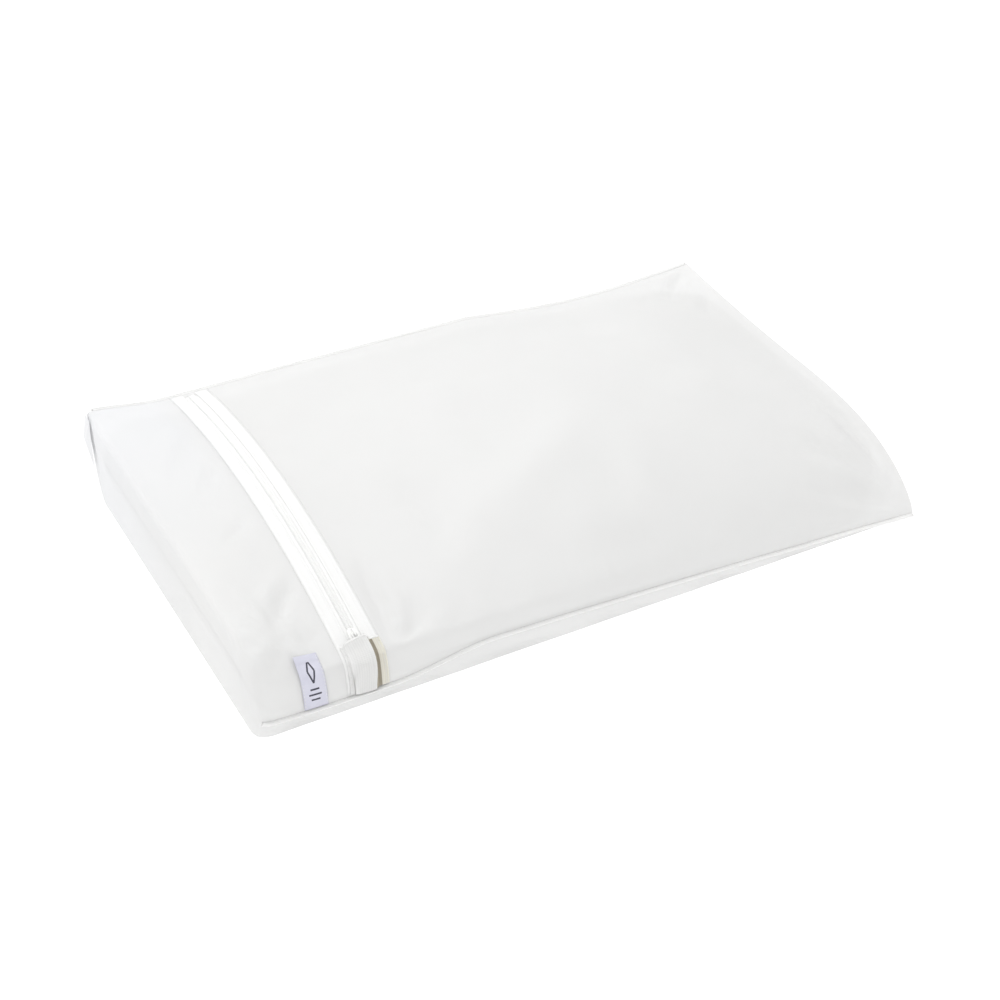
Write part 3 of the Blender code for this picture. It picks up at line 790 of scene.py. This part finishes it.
def cover_point(kind, where, v):
    """A point of the cover, with the soft lumps of its top, the bulge of its end and the creases
    of its underside along the front seam."""
    distance = (1 + v) * HALF_W
    if kind == "end":
        point = top_point(-HALF_L, v).lerp(base_point(-HALF_L, v), where)
        swell = math.sin(math.pi * where) * ease((1 - abs(v)) * HALF_W / (40 * MM))
        point.x -= swell * (3.0 * MM + 2.0 * MM * noise.noise(point * 14.0))
        return point
    if kind == "top":
        point = top_point(where, v)
        free = freedom(where, v, LUMP_REACH)
        zip_free = ease((abs(where - ZIP_X) - ZIP_FLAT) / (20 * MM))
        point.z += lumps(point.x, point.y) * free
        folds = creases(point.x, point.y) + crumple(point.x, point.y)
        point.z += folds * freedom(where, v, CREASE_REACH)
        point.z += pucker(point.x, distance) * zip_free
        return point
    point = base_point(where, v)
    if distance < FRONT_BASE_REACH:
        share = distance / FRONT_BASE_REACH
        slant = point.x * 26.0 + point.z * 45.0
        crease = abs(noise.noise(Vector((slant, 0.3, 3.3))))
        crease += 0.4 * abs(noise.noise(Vector((slant * 2.7, 1.3, 8.3))))
        from_end = ease((point.x + HALF_L) / (30 * MM))
        point.y += 7.0 * MM * crease * math.sin(math.pi * share) * from_end
    return point


def build_cover(looks):
    """One length of voile round the pillow, with the slot open along the zip."""
    rows, shares = girth_rows(), shares_across()
    grid, uvs, held = [], [], []
    middle = min(range(len(shares)), key=lambda j: abs(shares[j]))
    girth = 0.0
    for kind, where in rows:
        line = [cover_point(kind, where, v) for v in shares]
        if grid:
            girth += (line[middle] - grid[-1][middle]).length
        across = [0.0]
        for before, after in zip(line, line[1:]):
            across.append(across[-1] + (after - before).length)
        grid.append(line)
        uvs.append([(girth, a - across[middle]) for a in across])
        held += [1 - (freedom(where, v, LUMP_REACH) if kind == "top" else 0.0) for v in shares]
    cover = grid_object("voile_shell", grid, looks["voile"], uvs)
    face_outward(cover)
    simulate(cover, held)
    open_slot(cover)
    subdivide(cover)
    return cover


def build_corner_fold(looks):
    """The fold of spare cloth that stands out at the far left corner. Its voile is painted darker
    grey, as painted shade for the shadow the fold stands in.
    """
    top = Vector((-HALF_L - 0.5 * MM, HALF_W - 0.5 * MM, 82 * MM))
    tip = Vector((-HALF_L - 4.5 * MM, HALF_W - 0.5 * MM, 60 * MM))
    inner = Vector((-HALF_L - 1.0 * MM, HALF_W - 13 * MM, 82.5 * MM))
    crease = Vector((-HALF_L - 2.5 * MM, HALF_W - 16 * MM, 62 * MM))
    foot = Vector((-HALF_L - 4.0 * MM, HALF_W - 22 * MM, 38 * MM))
    points, faces, uvs = [], [], []
    for first, second, third in ((top, tip, inner), (inner, tip, crease), (tip, foot, crease)):
        start, count = len(points), 7
        for i in range(count):
            for j in range(count):
                a, b = i / (count - 1), j / (count - 1)
                point = first.lerp(second.lerp(third, b), a)
                point.x -= 0.8 * MM * math.sin(math.pi * a) * math.sin(math.pi * b)
                points.append(point)
                uvs.append((point.y, point.z))
        faces += grid_faces(count, count, start)
    return mesh_object("corner_fold", points, faces, looks["fold"], uvs)


def face_outward(cover):
    """The cover's own faces run one way round it, so one look at the top settles them all."""
    top = sum(polygon.normal.z for polygon in cover.data.polygons if polygon.center.z > 50 * MM)
    if top < 0:
        cover.data.flip_normals()


def open_slot(cover):
    """Cut out the cloth between the zip's two hems."""
    shape = bmesh.new()
    shape.from_mesh(cover.data)
    gone = []
    for face in shape.faces:
        centre = face.calc_center_median()
        if abs(centre.x - ZIP_X) < LIP and abs(centre.y) < HALF_W - SLOT_END and centre.z > 25 * MM:
            gone.append(face)
    bmesh.ops.delete(shape, geom=gone, context="FACES_ONLY")
    shape.to_mesh(cover.data)
    shape.free()


# The pillow

def pillow_point(x, v, side):
    """A point of the pillow: side 1 is its top and -1 its underside. It fills the cover, and its
    corners are rounded."""
    left, right = -HALF_L + PILLOW_LEFT, HALF_L - PILLOW_RIGHT
    corner = PILLOW_CORNER if x > 0 else PILLOW_LEFT_CORNER
    half = (HALF_W - PILLOW_SIDE) - corner * (1 - quarter(min(x - left, right - x), corner))
    inner = v * half / HALF_W
    folds = creases(x, v * half) + crumple(x, v * half)
    sunk = min(folds, 0.0) * freedom(x, inner, CREASE_REACH)
    swollen = lumps(x, v * half) * freedom(x, inner, LUMP_REACH)
    top = top_point(x, inner).z + swollen + sunk - PILLOW_GAP
    base = base_point(x, inner).z + PILLOW_GAP
    swell = quarter((1 - abs(v)) * HALF_W, 28 * MM) * quarter(min(x - left, right - x), 26 * MM)
    middle, depth = (top + base) / 2, max((top - base) / 2, 0.2 * MM)
    return Vector((x, v * half, middle + side * depth * max(swell, 0.02)))


def build_pillow(looks):
    """The pillow's ticking: two panels sewn all round, padded from inside."""
    left, right = -HALF_L + PILLOW_LEFT, HALF_L - PILLOW_RIGHT
    count, across = 90, 56
    xs = [left + (right - left) * (1 - math.cos(math.pi * i / count)) / 2 for i in range(count + 1)]
    shares = [math.sin(math.pi / 2 * (2 * j / across - 1)) for j in range(across + 1)]
    points, faces, uvs = [], [], []
    for side in (1, -1):
        start = len(points)
        points += [pillow_point(x, v, side) for x in xs for v in shares]
        uvs += [(x, v * HALF_W) for x in xs for v in shares]
        panel = grid_faces(len(xs), len(shares), start)
        faces += [tuple(reversed(face)) for face in panel] if side > 0 else panel
    pillow = mesh_object("pillow_ticking", points, faces, looks["ticking"], uvs)
    shape = bmesh.new()
    shape.from_mesh(pillow.data)
    bmesh.ops.remove_doubles(shape, verts=shape.verts, dist=0.3 * MM)
    bmesh.ops.recalc_face_normals(shape, faces=shape.faces)
    shape.to_mesh(pillow.data)
    shape.free()
    return pillow


# The zip

def tape_place(x, distance):
    """A point of a tape, which sinks a little towards the front seam."""
    return laid(x, distance, TAPE_TOP - FRONT_TUCK * (1 - ease(distance / TUCK_END)))[0]


def build_tape(side, name, looks):
    inner, outer = ZIP_X + side * 0.6 * MM, ZIP_X + side * (0.6 * MM + TAPE_WIDTH)
    length = path_length(ZIP_X)
    xs = steps(min(inner, outer), max(inner, outer), 2.2 * MM)
    tape = strip(name, xs, steps(TAPE_END, length - TAPE_END, 4 * MM), tape_place, looks["tape"])
    solidify(tape, 0.5 * MM, -1)
    return tape


def build_hem(side, name, looks):
    """The cover's edge along the zip, folded double and stitched to the tape."""
    length = path_length(ZIP_X)
    edge = ZIP_X + side * LIP

    def place(x, distance):
        inward = abs(x - edge)
        roll = math.sqrt(max(1 - (inward / (1.2 * MM) - 1) ** 2, 0.0)) if inward < 1.2 * MM else 1.0
        wave = 0.12 * MM * noise.noise(Vector((x * 60.0, distance * 45.0, 1.5)))
        return laid(x, distance, 0.1 * MM + 0.35 * MM * roll + wave)[0]

    xs = [edge + side * d * MM for d in (0, 0.15, 0.4, 0.8, 1.2, 2.0, 3.5, 5.0, 7.0, 9.0)]
    xs.append(edge + side * HEM_WIDTH)
    hem = strip(name, sorted(xs), steps(2 * MM, length - 2 * MM, 4 * MM), place, looks["hem"])
    solidify(hem, 0.25 * MM, -1)
    return hem


def arc_frame(y, rise):
    """A point over the zip's arc with the arc's outward and forward directions there."""
    angle = math.asin((y - ARC_CENTRE_Y) / ARC_RADIUS)
    out = np.array((0.0, math.sin(angle), math.cos(angle)))
    forward = np.array((0.0, math.cos(angle), -math.sin(angle)))
    centre = np.array((ZIP_X, ARC_CENTRE_Y, ARC_CENTRE_Z))
    return centre + out * (ARC_RADIUS + rise), out, forward


def build_coil(side, name, looks):
    """One side of the chain: a flattened spiral of nylon wire whose loops reach past the middle,
    half a pitch from the other side's."""
    parts = 10
    turns = int(2 * CHAIN_END / COIL_PITCH)
    middle = side * (COIL_WIDTH - COIL_REACH) / 2
    half = (COIL_WIDTH + COIL_REACH) / 2 - COIL_WIRE
    path, ups = [], []
    for i in range(turns * parts + 1):
        turn = 2 * math.pi * (i / parts + (0.5 if side > 0 else 0.0))
        y = -CHAIN_END + COIL_PITCH * i / parts
        point, out, forward = arc_frame(y, COIL_RISE)
        across = middle + half * squared(turn, 0.7)[0]
        path.append(point + np.array((across, 0, 0)) + out * 0.75 * MM * math.sin(turn))
        ups.append(forward)
    return sweep(name, path, ups, ring(COIL_WIRE, 5), looks["coil"])


def chain_line(offset, rise, start=-CHAIN_END, stop=CHAIN_END):
    """(point, normal) pairs along the zip's arc, `offset` from its middle."""
    line = []
    for y in steps(start, stop, 4 * MM):
        point, out, _ = arc_frame(y, rise)
        line.append((point + np.array((offset, 0, 0)), out))
    return line


def laid_line(x, start, stop, lift):
    return [laid(x, distance, lift) for distance in steps(start, stop, 4 * MM)]


def build_zip(looks):
    pieces = []
    length = path_length(ZIP_X)
    for side, hand in ((-1, "left"), (1, "right")):
        tape = build_tape(side, f"tape_{hand}", looks)
        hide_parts(f"zipper_tape_{hand}")
        coil = build_coil(side, f"coil_{hand}", looks)
        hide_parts(f"zipper_coil_{hand}")
        hem = build_hem(side, f"hem_{hand}", looks)
        pieces += [tape, coil, hem]
        for label, reach in (("inner", LIP + 2.2 * MM), ("outer", LIP + 7.6 * MM)):
            line = laid_line(ZIP_X + side * reach, 6 * MM, length - 6 * MM, 0.5 * MM)
            pieces.append(stitch_row(f"hem_stitches_{label}_{hand}", line, looks["thread"]))
        line = chain_line(side * 2.3 * MM, COIL_RISE + 1.0 * MM)
        pieces.append(stitch_row(f"coil_stitches_{hand}", line, looks["thread"], pitch=2.6 * MM,
                                 length=2.3 * MM, width=0.5 * MM))
    return pieces


# The slider and its tab

def park_matrix():
    """From the slider's own frame, X across, Y along the zip and Z out of the cover, to its place."""
    angle = math.asin((PARK_Y - ARC_CENTRE_Y) / ARC_RADIUS)
    centre = Matrix.Translation((ZIP_X, ARC_CENTRE_Y, ARC_CENTRE_Z))
    return centre @ Matrix.Rotation(-angle, 4, "X") @ Matrix.Translation((0, 0, ARC_RADIUS))


def slider_outline(scale, count=40):
    """The plate seen from above: wide at its front shoulders and narrower at the back."""
    outline = []
    for turn in turns(count):
        x, y = squared(turn, 0.55)
        waist = 1.0 - 0.16 * (y + 1) / 2
        outline.append((x * SLIDER_WIDTH / 2 * waist * scale, y * SLIDER_HALF * scale))
    return outline


def loft(rings, points, faces):
    """Add closed rings of points, joined in turn and capped at both ends."""
    faces.extend(tube_faces(len(rings), len(rings[0]), len(points)))
    for section in rings:
        points.extend(section)


def plate_rings(low, high):
    """A plate with rounded edges and a slightly domed top."""
    depth = high - low
    sizes = ((0.93, low), (0.98, low + 0.12 * depth), (1.0, low + 0.4 * depth),
             (0.985, high - 0.3 * depth), (0.94, high - 0.1 * depth), (0.86, high),
             (0.5, high + 0.12 * depth))
    return [[(x, y, z) for x, y in slider_outline(scale)] for scale, z in sizes]


def rod_rings(path, width, depth, sides=12):
    """Rounded sections of a strap that lies in the slider's YZ plane."""
    rings = []
    for i, (y, z) in enumerate(path):
        before, after = path[max(i - 1, 0)], path[min(i + 1, len(path) - 1)]
        along = unit(np.array((after[0] - before[0], after[1] - before[1])))
        section = []
        for turn in turns(sides):
            a, b = squared(turn, 0.6)
            b *= depth / 2
            section.append((a * width / 2, y - along[1] * b, z + along[0] * b))
        rings.append(section)
    return rings


def build_slider(looks):
    """Top plate, foot plate, side flanges, the post between the plates and the crown."""
    points, faces = [], []
    loft(plate_rings(PLATE_BASE, PLATE_TOP), points, faces)
    loft(plate_rings(FOOT_BASE, FOOT_TOP), points, faces)
    crown = []
    for i in range(25):
        turn = math.pi * i / 24
        rise = math.sin(turn) ** 0.6 * (CROWN_TOP - PLATE_TOP)
        crown.append((-4.0 * MM * math.cos(turn), PLATE_TOP - 0.2 * MM + rise))
    loft(rod_rings(crown, 1.7 * MM, 0.9 * MM), points, faces)
    post = ring(1.3 * MM, 12)
    loft([[(a * 0.45, b - 3.2 * MM, z) for a, b in post]
          for z in steps(FOOT_TOP - 0.2 * MM, PLATE_BASE + 0.2 * MM, 0.5 * MM)], points, faces)
    for side in (-1, 1):
        x = side * (SLIDER_WIDTH / 2 - 0.7 * MM)
        rings = []
        for y in steps(-4.3 * MM, 4.0 * MM, 0.7 * MM):
            pinch = x * (1.0 - 0.12 * (y / SLIDER_HALF + 1) / 2)
            rings.append([(pinch + a * 0.45, y, 0.75 * MM + b) for a, b in ring(1.25 * MM, 10)])
        loft(rings, points, faces)
    slider = mesh_object("slider_body", points, faces, looks["enamel"])
    slider.data.transform(park_matrix())
    subdivide(slider)
    return slider


def tab_half_width(share):
    """Half the tab's width along it: it narrows past its window and widens to its grip."""
    waist = 0.14 * math.sin(math.pi * min(share / 0.6, 1.0))
    return TAB_WIDTH / 2 * (0.86 - waist + 0.14 * ease(share * 2 - 0.6))


def tab_outlines():
    """The tab's rounded outline and its window, flat."""
    start, stop = 0.55 * MM, -TAB_REACH + 0.35 * MM
    right = []
    for i in range(30):
        share = i / 29
        close = min(share, 1 - share) * (start - stop)
        rounding = quarter(close, 2.2 * MM if share > 0.5 else 1.0 * MM)
        half_width = (tab_half_width(share) - 0.3 * MM) * (0.55 + 0.45 * rounding)
        right.append((half_width, mix(start, stop, share)))
    window = []
    for turn in turns(24):
        x, y = squared(turn, 0.6)
        window.append((x * 1.6 * MM, y * 3.0 * MM - 3.8 * MM))
    return right + [(-x, y) for x, y in reversed(right)], window


def bevelled_plate(name, outlines, thickness):
    """A flat plate with rounded edges, as a mesh: the second outline is a hole in the first."""
    data = bpy.data.curves.new(name, "CURVE")
    data.dimensions = "2D"
    data.fill_mode = "BOTH"
    data.extrude = thickness / 4
    data.bevel_depth = thickness / 4
    data.bevel_resolution = 3
    for outline in outlines:
        spline = data.splines.new("POLY")
        spline.points.add(len(outline) - 1)
        for place, (x, y) in zip(spline.points, outline):
            place.co = (x, y, 0, 1)
        spline.use_cyclic_u = True
    guide = link_object(name, data)
    mesh = bpy.data.meshes.new_from_object(guide.evaluated_get(bpy.context.evaluated_depsgraph_get()))
    bpy.data.objects.remove(guide)
    return mesh


def build_tab(looks):
    """The pull tab, with a window round the crown and a rounded grip."""
    mesh = bevelled_plate("pull_tab_outline", tab_outlines(), TAB_THICKNESS)
    mesh.name = "pull_tab_plate"
    mesh.transform(park_matrix() @ Matrix.Translation((0, 0, EYE_RISE)))
    mesh.materials.clear()
    mesh.materials.append(looks["enamel"])
    mesh.shade_smooth()
    mesh.set_sharp_from_angle(angle=math.radians(50))
    return link_object("pull_tab_plate", mesh)


# The pieces sewn on

# Across the garage and its height above the cover, in mm: the sewn left edge, the arched face, the
# steep flank tucked under it, and the sewn strip on the right
GARAGE_PROFILE = (
    (-15.5, 0.0), (-14.0, 0.15), (-12.4, 0.5), (-11.4, 3.6), (-9.0, 6.2), (-4.0, 8.0), (0.0, 8.6),
    (2.6, 8.4), (4.0, 7.4), (5.2, 5.0), (6.2, 2.6), (7.0, 0.9), (8.6, 0.5), (11.5, 0.35), (15.5, 0.0))


def smooth_profile(corners, count):
    """A smooth curve through the corners, with evenly spaced points."""
    corners = np.array(corners)
    padded = np.vstack([2 * corners[0] - corners[1], corners, 2 * corners[-1] - corners[-2]])
    dense = []
    for i in range(1, len(padded) - 2):
        a, b, c, d = padded[i - 1:i + 3]
        for t in np.linspace(0, 1, 16, endpoint=False):
            dense.append(0.5 * (2 * b + (c - a) * t + (2 * a - 5 * b + 4 * c - d) * t ** 2
                                + (3 * b - 3 * c + d - a) * t ** 3))
    dense.append(corners[-1])
    dense = np.array(dense)
    walked = distances_along(dense)
    return point_at(np.linspace(0, walked[-1], count), walked, dense).T


def garage_arch(distance):
    """How much of its full height the elastic has, from its sewn front end to its open top."""
    return mix(GARAGE_SEAM_SHARE, 1.0, ease((distance - GARAGE_LEVEL) / GARAGE_RISE_LENGTH))


def build_garage(looks):
    """The ribbed elastic over the parked tab: sewn flat on the left, arched over the slider, and
    tucked under on the right to its second sewn edge."""
    profile = smooth_profile(GARAGE_PROFILE, 150)
    spacing = np.linalg.norm(profile[1] - profile[0]) * MM

    def place(walked, distance):
        k = round(walked / spacing)
        across, rise = profile[k]
        rib = 0.10 * MM * math.sin(2 * math.pi * k / 3.0)
        lift = LAID_GAP + rise * MM * garage_arch(distance) + rib
        return laid(GARAGE_X + across * MM, distance, lift)[0]

    columns = [k * spacing for k in range(len(profile))]
    distances = steps(GARAGE_START, GARAGE_LENGTH, 1.0 * MM)
    band = strip("garage_band", columns, distances, place, looks["elastic"])
    solidify(band, 0.9 * MM, 1)
    return band


def build_garage_edge(looks):
    """The rolled hem along the elastic's open end."""
    profile = smooth_profile(GARAGE_PROFILE, 60)
    path, ups = [], []
    for across, rise in profile:
        point, normal = laid(GARAGE_X + across * MM, GARAGE_LENGTH, LAID_GAP + rise * MM + 0.5 * MM)
        path.append(point)
        ups.append(normal)
    return sweep("garage_hem", path, ups, ring(0.95 * MM, 8), looks["binding"])


def label_place(across, distance, lift):
    wave = 0.35 * MM * math.sin(across * 180.0 + distance * 90.0) * ease(distance / (20 * MM))
    return laid(LABEL_X + across, distance, LAID_GAP + wave + lift)[0]


def build_label(looks):
    """The woven label, with its end folded under."""
    fold_at = LABEL_START + LABEL_LENGTH - 6 * MM

    def place(across, distance):
        return label_place(across, distance, 0.45 * MM * ease((distance - fold_at) / (0.8 * MM)))

    columns = steps(-LABEL_WIDTH / 2, LABEL_WIDTH / 2, 1.0 * MM)
    distances = steps(LABEL_START, LABEL_START + LABEL_LENGTH, 1.0 * MM)
    label = strip("label_cloth", columns, distances, place, looks["label"])
    solidify(label, 0.4 * MM, 1)
    return label


def ribbon(start, stop, width, points, faces):
    """Add a narrow woven stroke to the label, from one (across, distance) place to another."""
    start, stop = np.array(start), np.array(stop)
    along = unit(stop - start)
    aside = np.array((-along[1], along[0])) * width / 2
    base = len(points)
    count = max(2, round(np.linalg.norm(stop - start) / MM))
    for i in range(count + 1):
        middle = mix(start, stop, i / count)
        for side, rise in ((-1, 0.42), (0, 0.52), (1, 0.42)):
            across, distance = middle + aside * side
            points.append(label_place(across, distance, rise * MM))
    for i in range(count):
        for k in range(2):
            low = base + i * 3 + k
            faces.append((low, low + 1, low + 4, low + 3))


def build_label_mark(looks):
    """A plain lozenge and three plain bars, woven in a dark thread."""
    points, faces = [], []
    centre, half_width, half_height = 32 * MM, 2.7 * MM, 8.5 * MM
    tips = [(0, centre + half_height), (half_width, centre), (0, centre - half_height),
            (-half_width, centre)]
    for start, stop in zip(tips, tips[1:] + tips[:1]):
        ribbon(start, stop, 1.3 * MM, points, faces)
    for index, width in enumerate((7 * MM, 10 * MM, 7 * MM)):
        level = 18.5 * MM - index * 4.4 * MM
        ribbon((-width / 2, level), (width / 2, level), 1.5 * MM, points, faces)
    return mesh_object("label_mark", points, faces, looks["ink"])


def seam_path(v):
    """Points along a long seam, between the fold and the rounded left corner."""
    xs = steps(-HALF_L + BINDING_START, HALF_L - 1.6 * MM, 2 * MM)
    seam = [top_point(x, v) for x in reversed(xs)]
    return seam if v < 0 else list(reversed(seam))


def build_binding(v, name, looks):
    """A folded tape round the raw edges of a long seam, drawn in a little at each stitch."""
    path = [np.array(point) for point in seam_path(v)]
    ups = [np.array((0.0, 0.0, 1.0))] * len(path)

    def section(i):
        x = path[i][0]
        draw = 1 - 0.12 * (i % 2) + 0.15 * noise.noise(Vector((x * 120.0, v, 0.5)))
        droop = 0.5 * MM * noise.noise(Vector((x * 18.0, 3.0 * v, 2.5)))
        middle, half, thick = 1.5 * MM, 2.1 * MM, 0.95 * MM * draw
        return [(middle + half * math.cos(t), droop + thick * math.sin(t)) for t in turns(12)]

    return sweep(name, path, ups, section, looks["binding"])


def binding_stitches(v, name, looks):
    path, up = seam_path(v), np.array((0.0, 0.0, 1.0))
    line = []
    for before, after in zip(path, path[1:]):
        out = unit(np.cross(up, unit(np.array(after - before))))
        line.append((np.array(before) + out * 1.2 * MM + up * 0.95 * MM, up))
    return stitch_row(name, line, looks["thread"])


def build_stitches(look):
    """The rows of stitches that hold the garage and the label, by name."""
    rows = (
        ("garage_stitches_left", GARAGE_X - 14.3 * MM, 41 * MM, 2.0 * MM),
        ("garage_stitches_right", GARAGE_X + 13.6 * MM, 41 * MM, 2.1 * MM),
        ("label_stitches_left", LABEL_X - 8.6 * MM, 45 * MM, 1.4 * MM),
        ("label_stitches_right", LABEL_X + 8.6 * MM, 45 * MM, 1.4 * MM),
    )
    return {name: stitch_row(name, laid_line(x, 4 * MM, stop, lift), look)
            for name, x, stop, lift in rows}


def bag_pieces(looks):
    cover = build_cover(looks)
    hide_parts("voile_cover")
    pillow = build_pillow(looks)
    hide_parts("ticking_top", "ticking_bottom", "fibre_fill")
    ear = build_corner_fold(looks)
    return [cover, ear, pillow] + build_zip(looks)


def moving_pieces(looks):
    slider = build_slider(looks)
    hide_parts("zipper_slider")
    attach(slider, "slider")
    tab = build_tab(looks)
    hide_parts("pull_tab")
    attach(tab, "pull")


def sewn_on_pieces(looks):
    """The garage, the label, the bindings and their stitches. The garage and the stitches through
    it are also returned alone, because they squash."""
    garage, edge = build_garage(looks), build_garage_edge(looks)
    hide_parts("garage_elastic")
    label, mark = build_label(looks), build_label_mark(looks)
    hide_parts("woven_label")
    fixed = [garage, edge, label, mark]
    for v, side in ((-1, "front"), (1, "back")):
        binding = build_binding(v, f"binding_{side}", looks)
        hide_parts(f"{side}_seam_binding")
        fixed += [binding, binding_stitches(v, f"binding_stitches_{side}", looks)]
    stitches = build_stitches(looks["thread"])
    fixed += list(stitches.values())
    return fixed, (garage, edge, stitches["garage_stitches_left"], stitches["garage_stitches_right"])


def main():
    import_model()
    looks = fabric_looks()
    fixed = bag_pieces(looks)
    moving_pieces(looks)
    sewn_on, squashed = sewn_on_pieces(looks)
    for piece in fixed + sewn_on:
        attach(piece, "bag")
    for piece in squashed:
        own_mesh(piece)

    add_stage()


# The stage

def add_stage():
    scene = bpy.context.scene
    scene.view_settings.view_transform = "Standard"
    world = bpy.data.worlds.new("Studio")
    world.use_nodes = True
    background = world.node_tree.nodes["Background"]
    background.inputs["Color"].default_value = (1.0, 1.0, 1.0, 1.0)
    background.inputs["Strength"].default_value = 0.93
    scene.world = world
    build_floor(6.0, -0.3 * MM)
    add_lamp("key", (-1.3, 2.2, 4.2), 1.8, 66)
    add_lamp("fill", (-0.6, -2.6, 4.4), 3.0, 16)
    add_camera()


def build_floor(size, level):
    """A white floor, lit from within so that it stays white under the bag."""
    look = Look("studio_floor", 0.9, Emission_Color=(1.0, 1.0, 1.0, 1.0), Emission_Strength=0.86)
    cloudy = look.noise(look.coordinates("Object"), 3.0)
    look.paint(look.blend((0.28, 0.28, 0.28), (0.26, 0.26, 0.26), cloudy))
    corners = [(a * size, b * size, level) for a, b in ((-1, -1), (1, -1), (1, 1), (-1, 1))]
    return mesh_object("studio_floor", corners, [(0, 1, 2, 3)], look.material)


def add_camera():
    data = bpy.data.cameras.new("Camera")
    data.sensor_width = 36.0
    data.lens = LENS
    data.shift_x, data.shift_y = SHIFT
    camera = link_object("Camera", data)
    turn, rise = math.radians(AZIMUTH), math.radians(ELEVATION)
    back = Vector((math.sin(turn) * math.cos(rise), -math.cos(turn) * math.cos(rise), math.sin(rise)))
    camera.location = back * DISTANCE
    camera.rotation_euler = back.to_track_quat("Z", "Y").to_euler()
    bpy.context.scene.camera = camera


def add_lamp(name, place, size, power):
    data = bpy.data.lights.new(name, "AREA")
    data.shape = "DISK"
    data.size = size
    data.energy = power
    lamp = link_object(name, data)
    lamp.location = place
    lamp.rotation_euler = Vector(place).to_track_quat("Z", "Y").to_euler()


main()
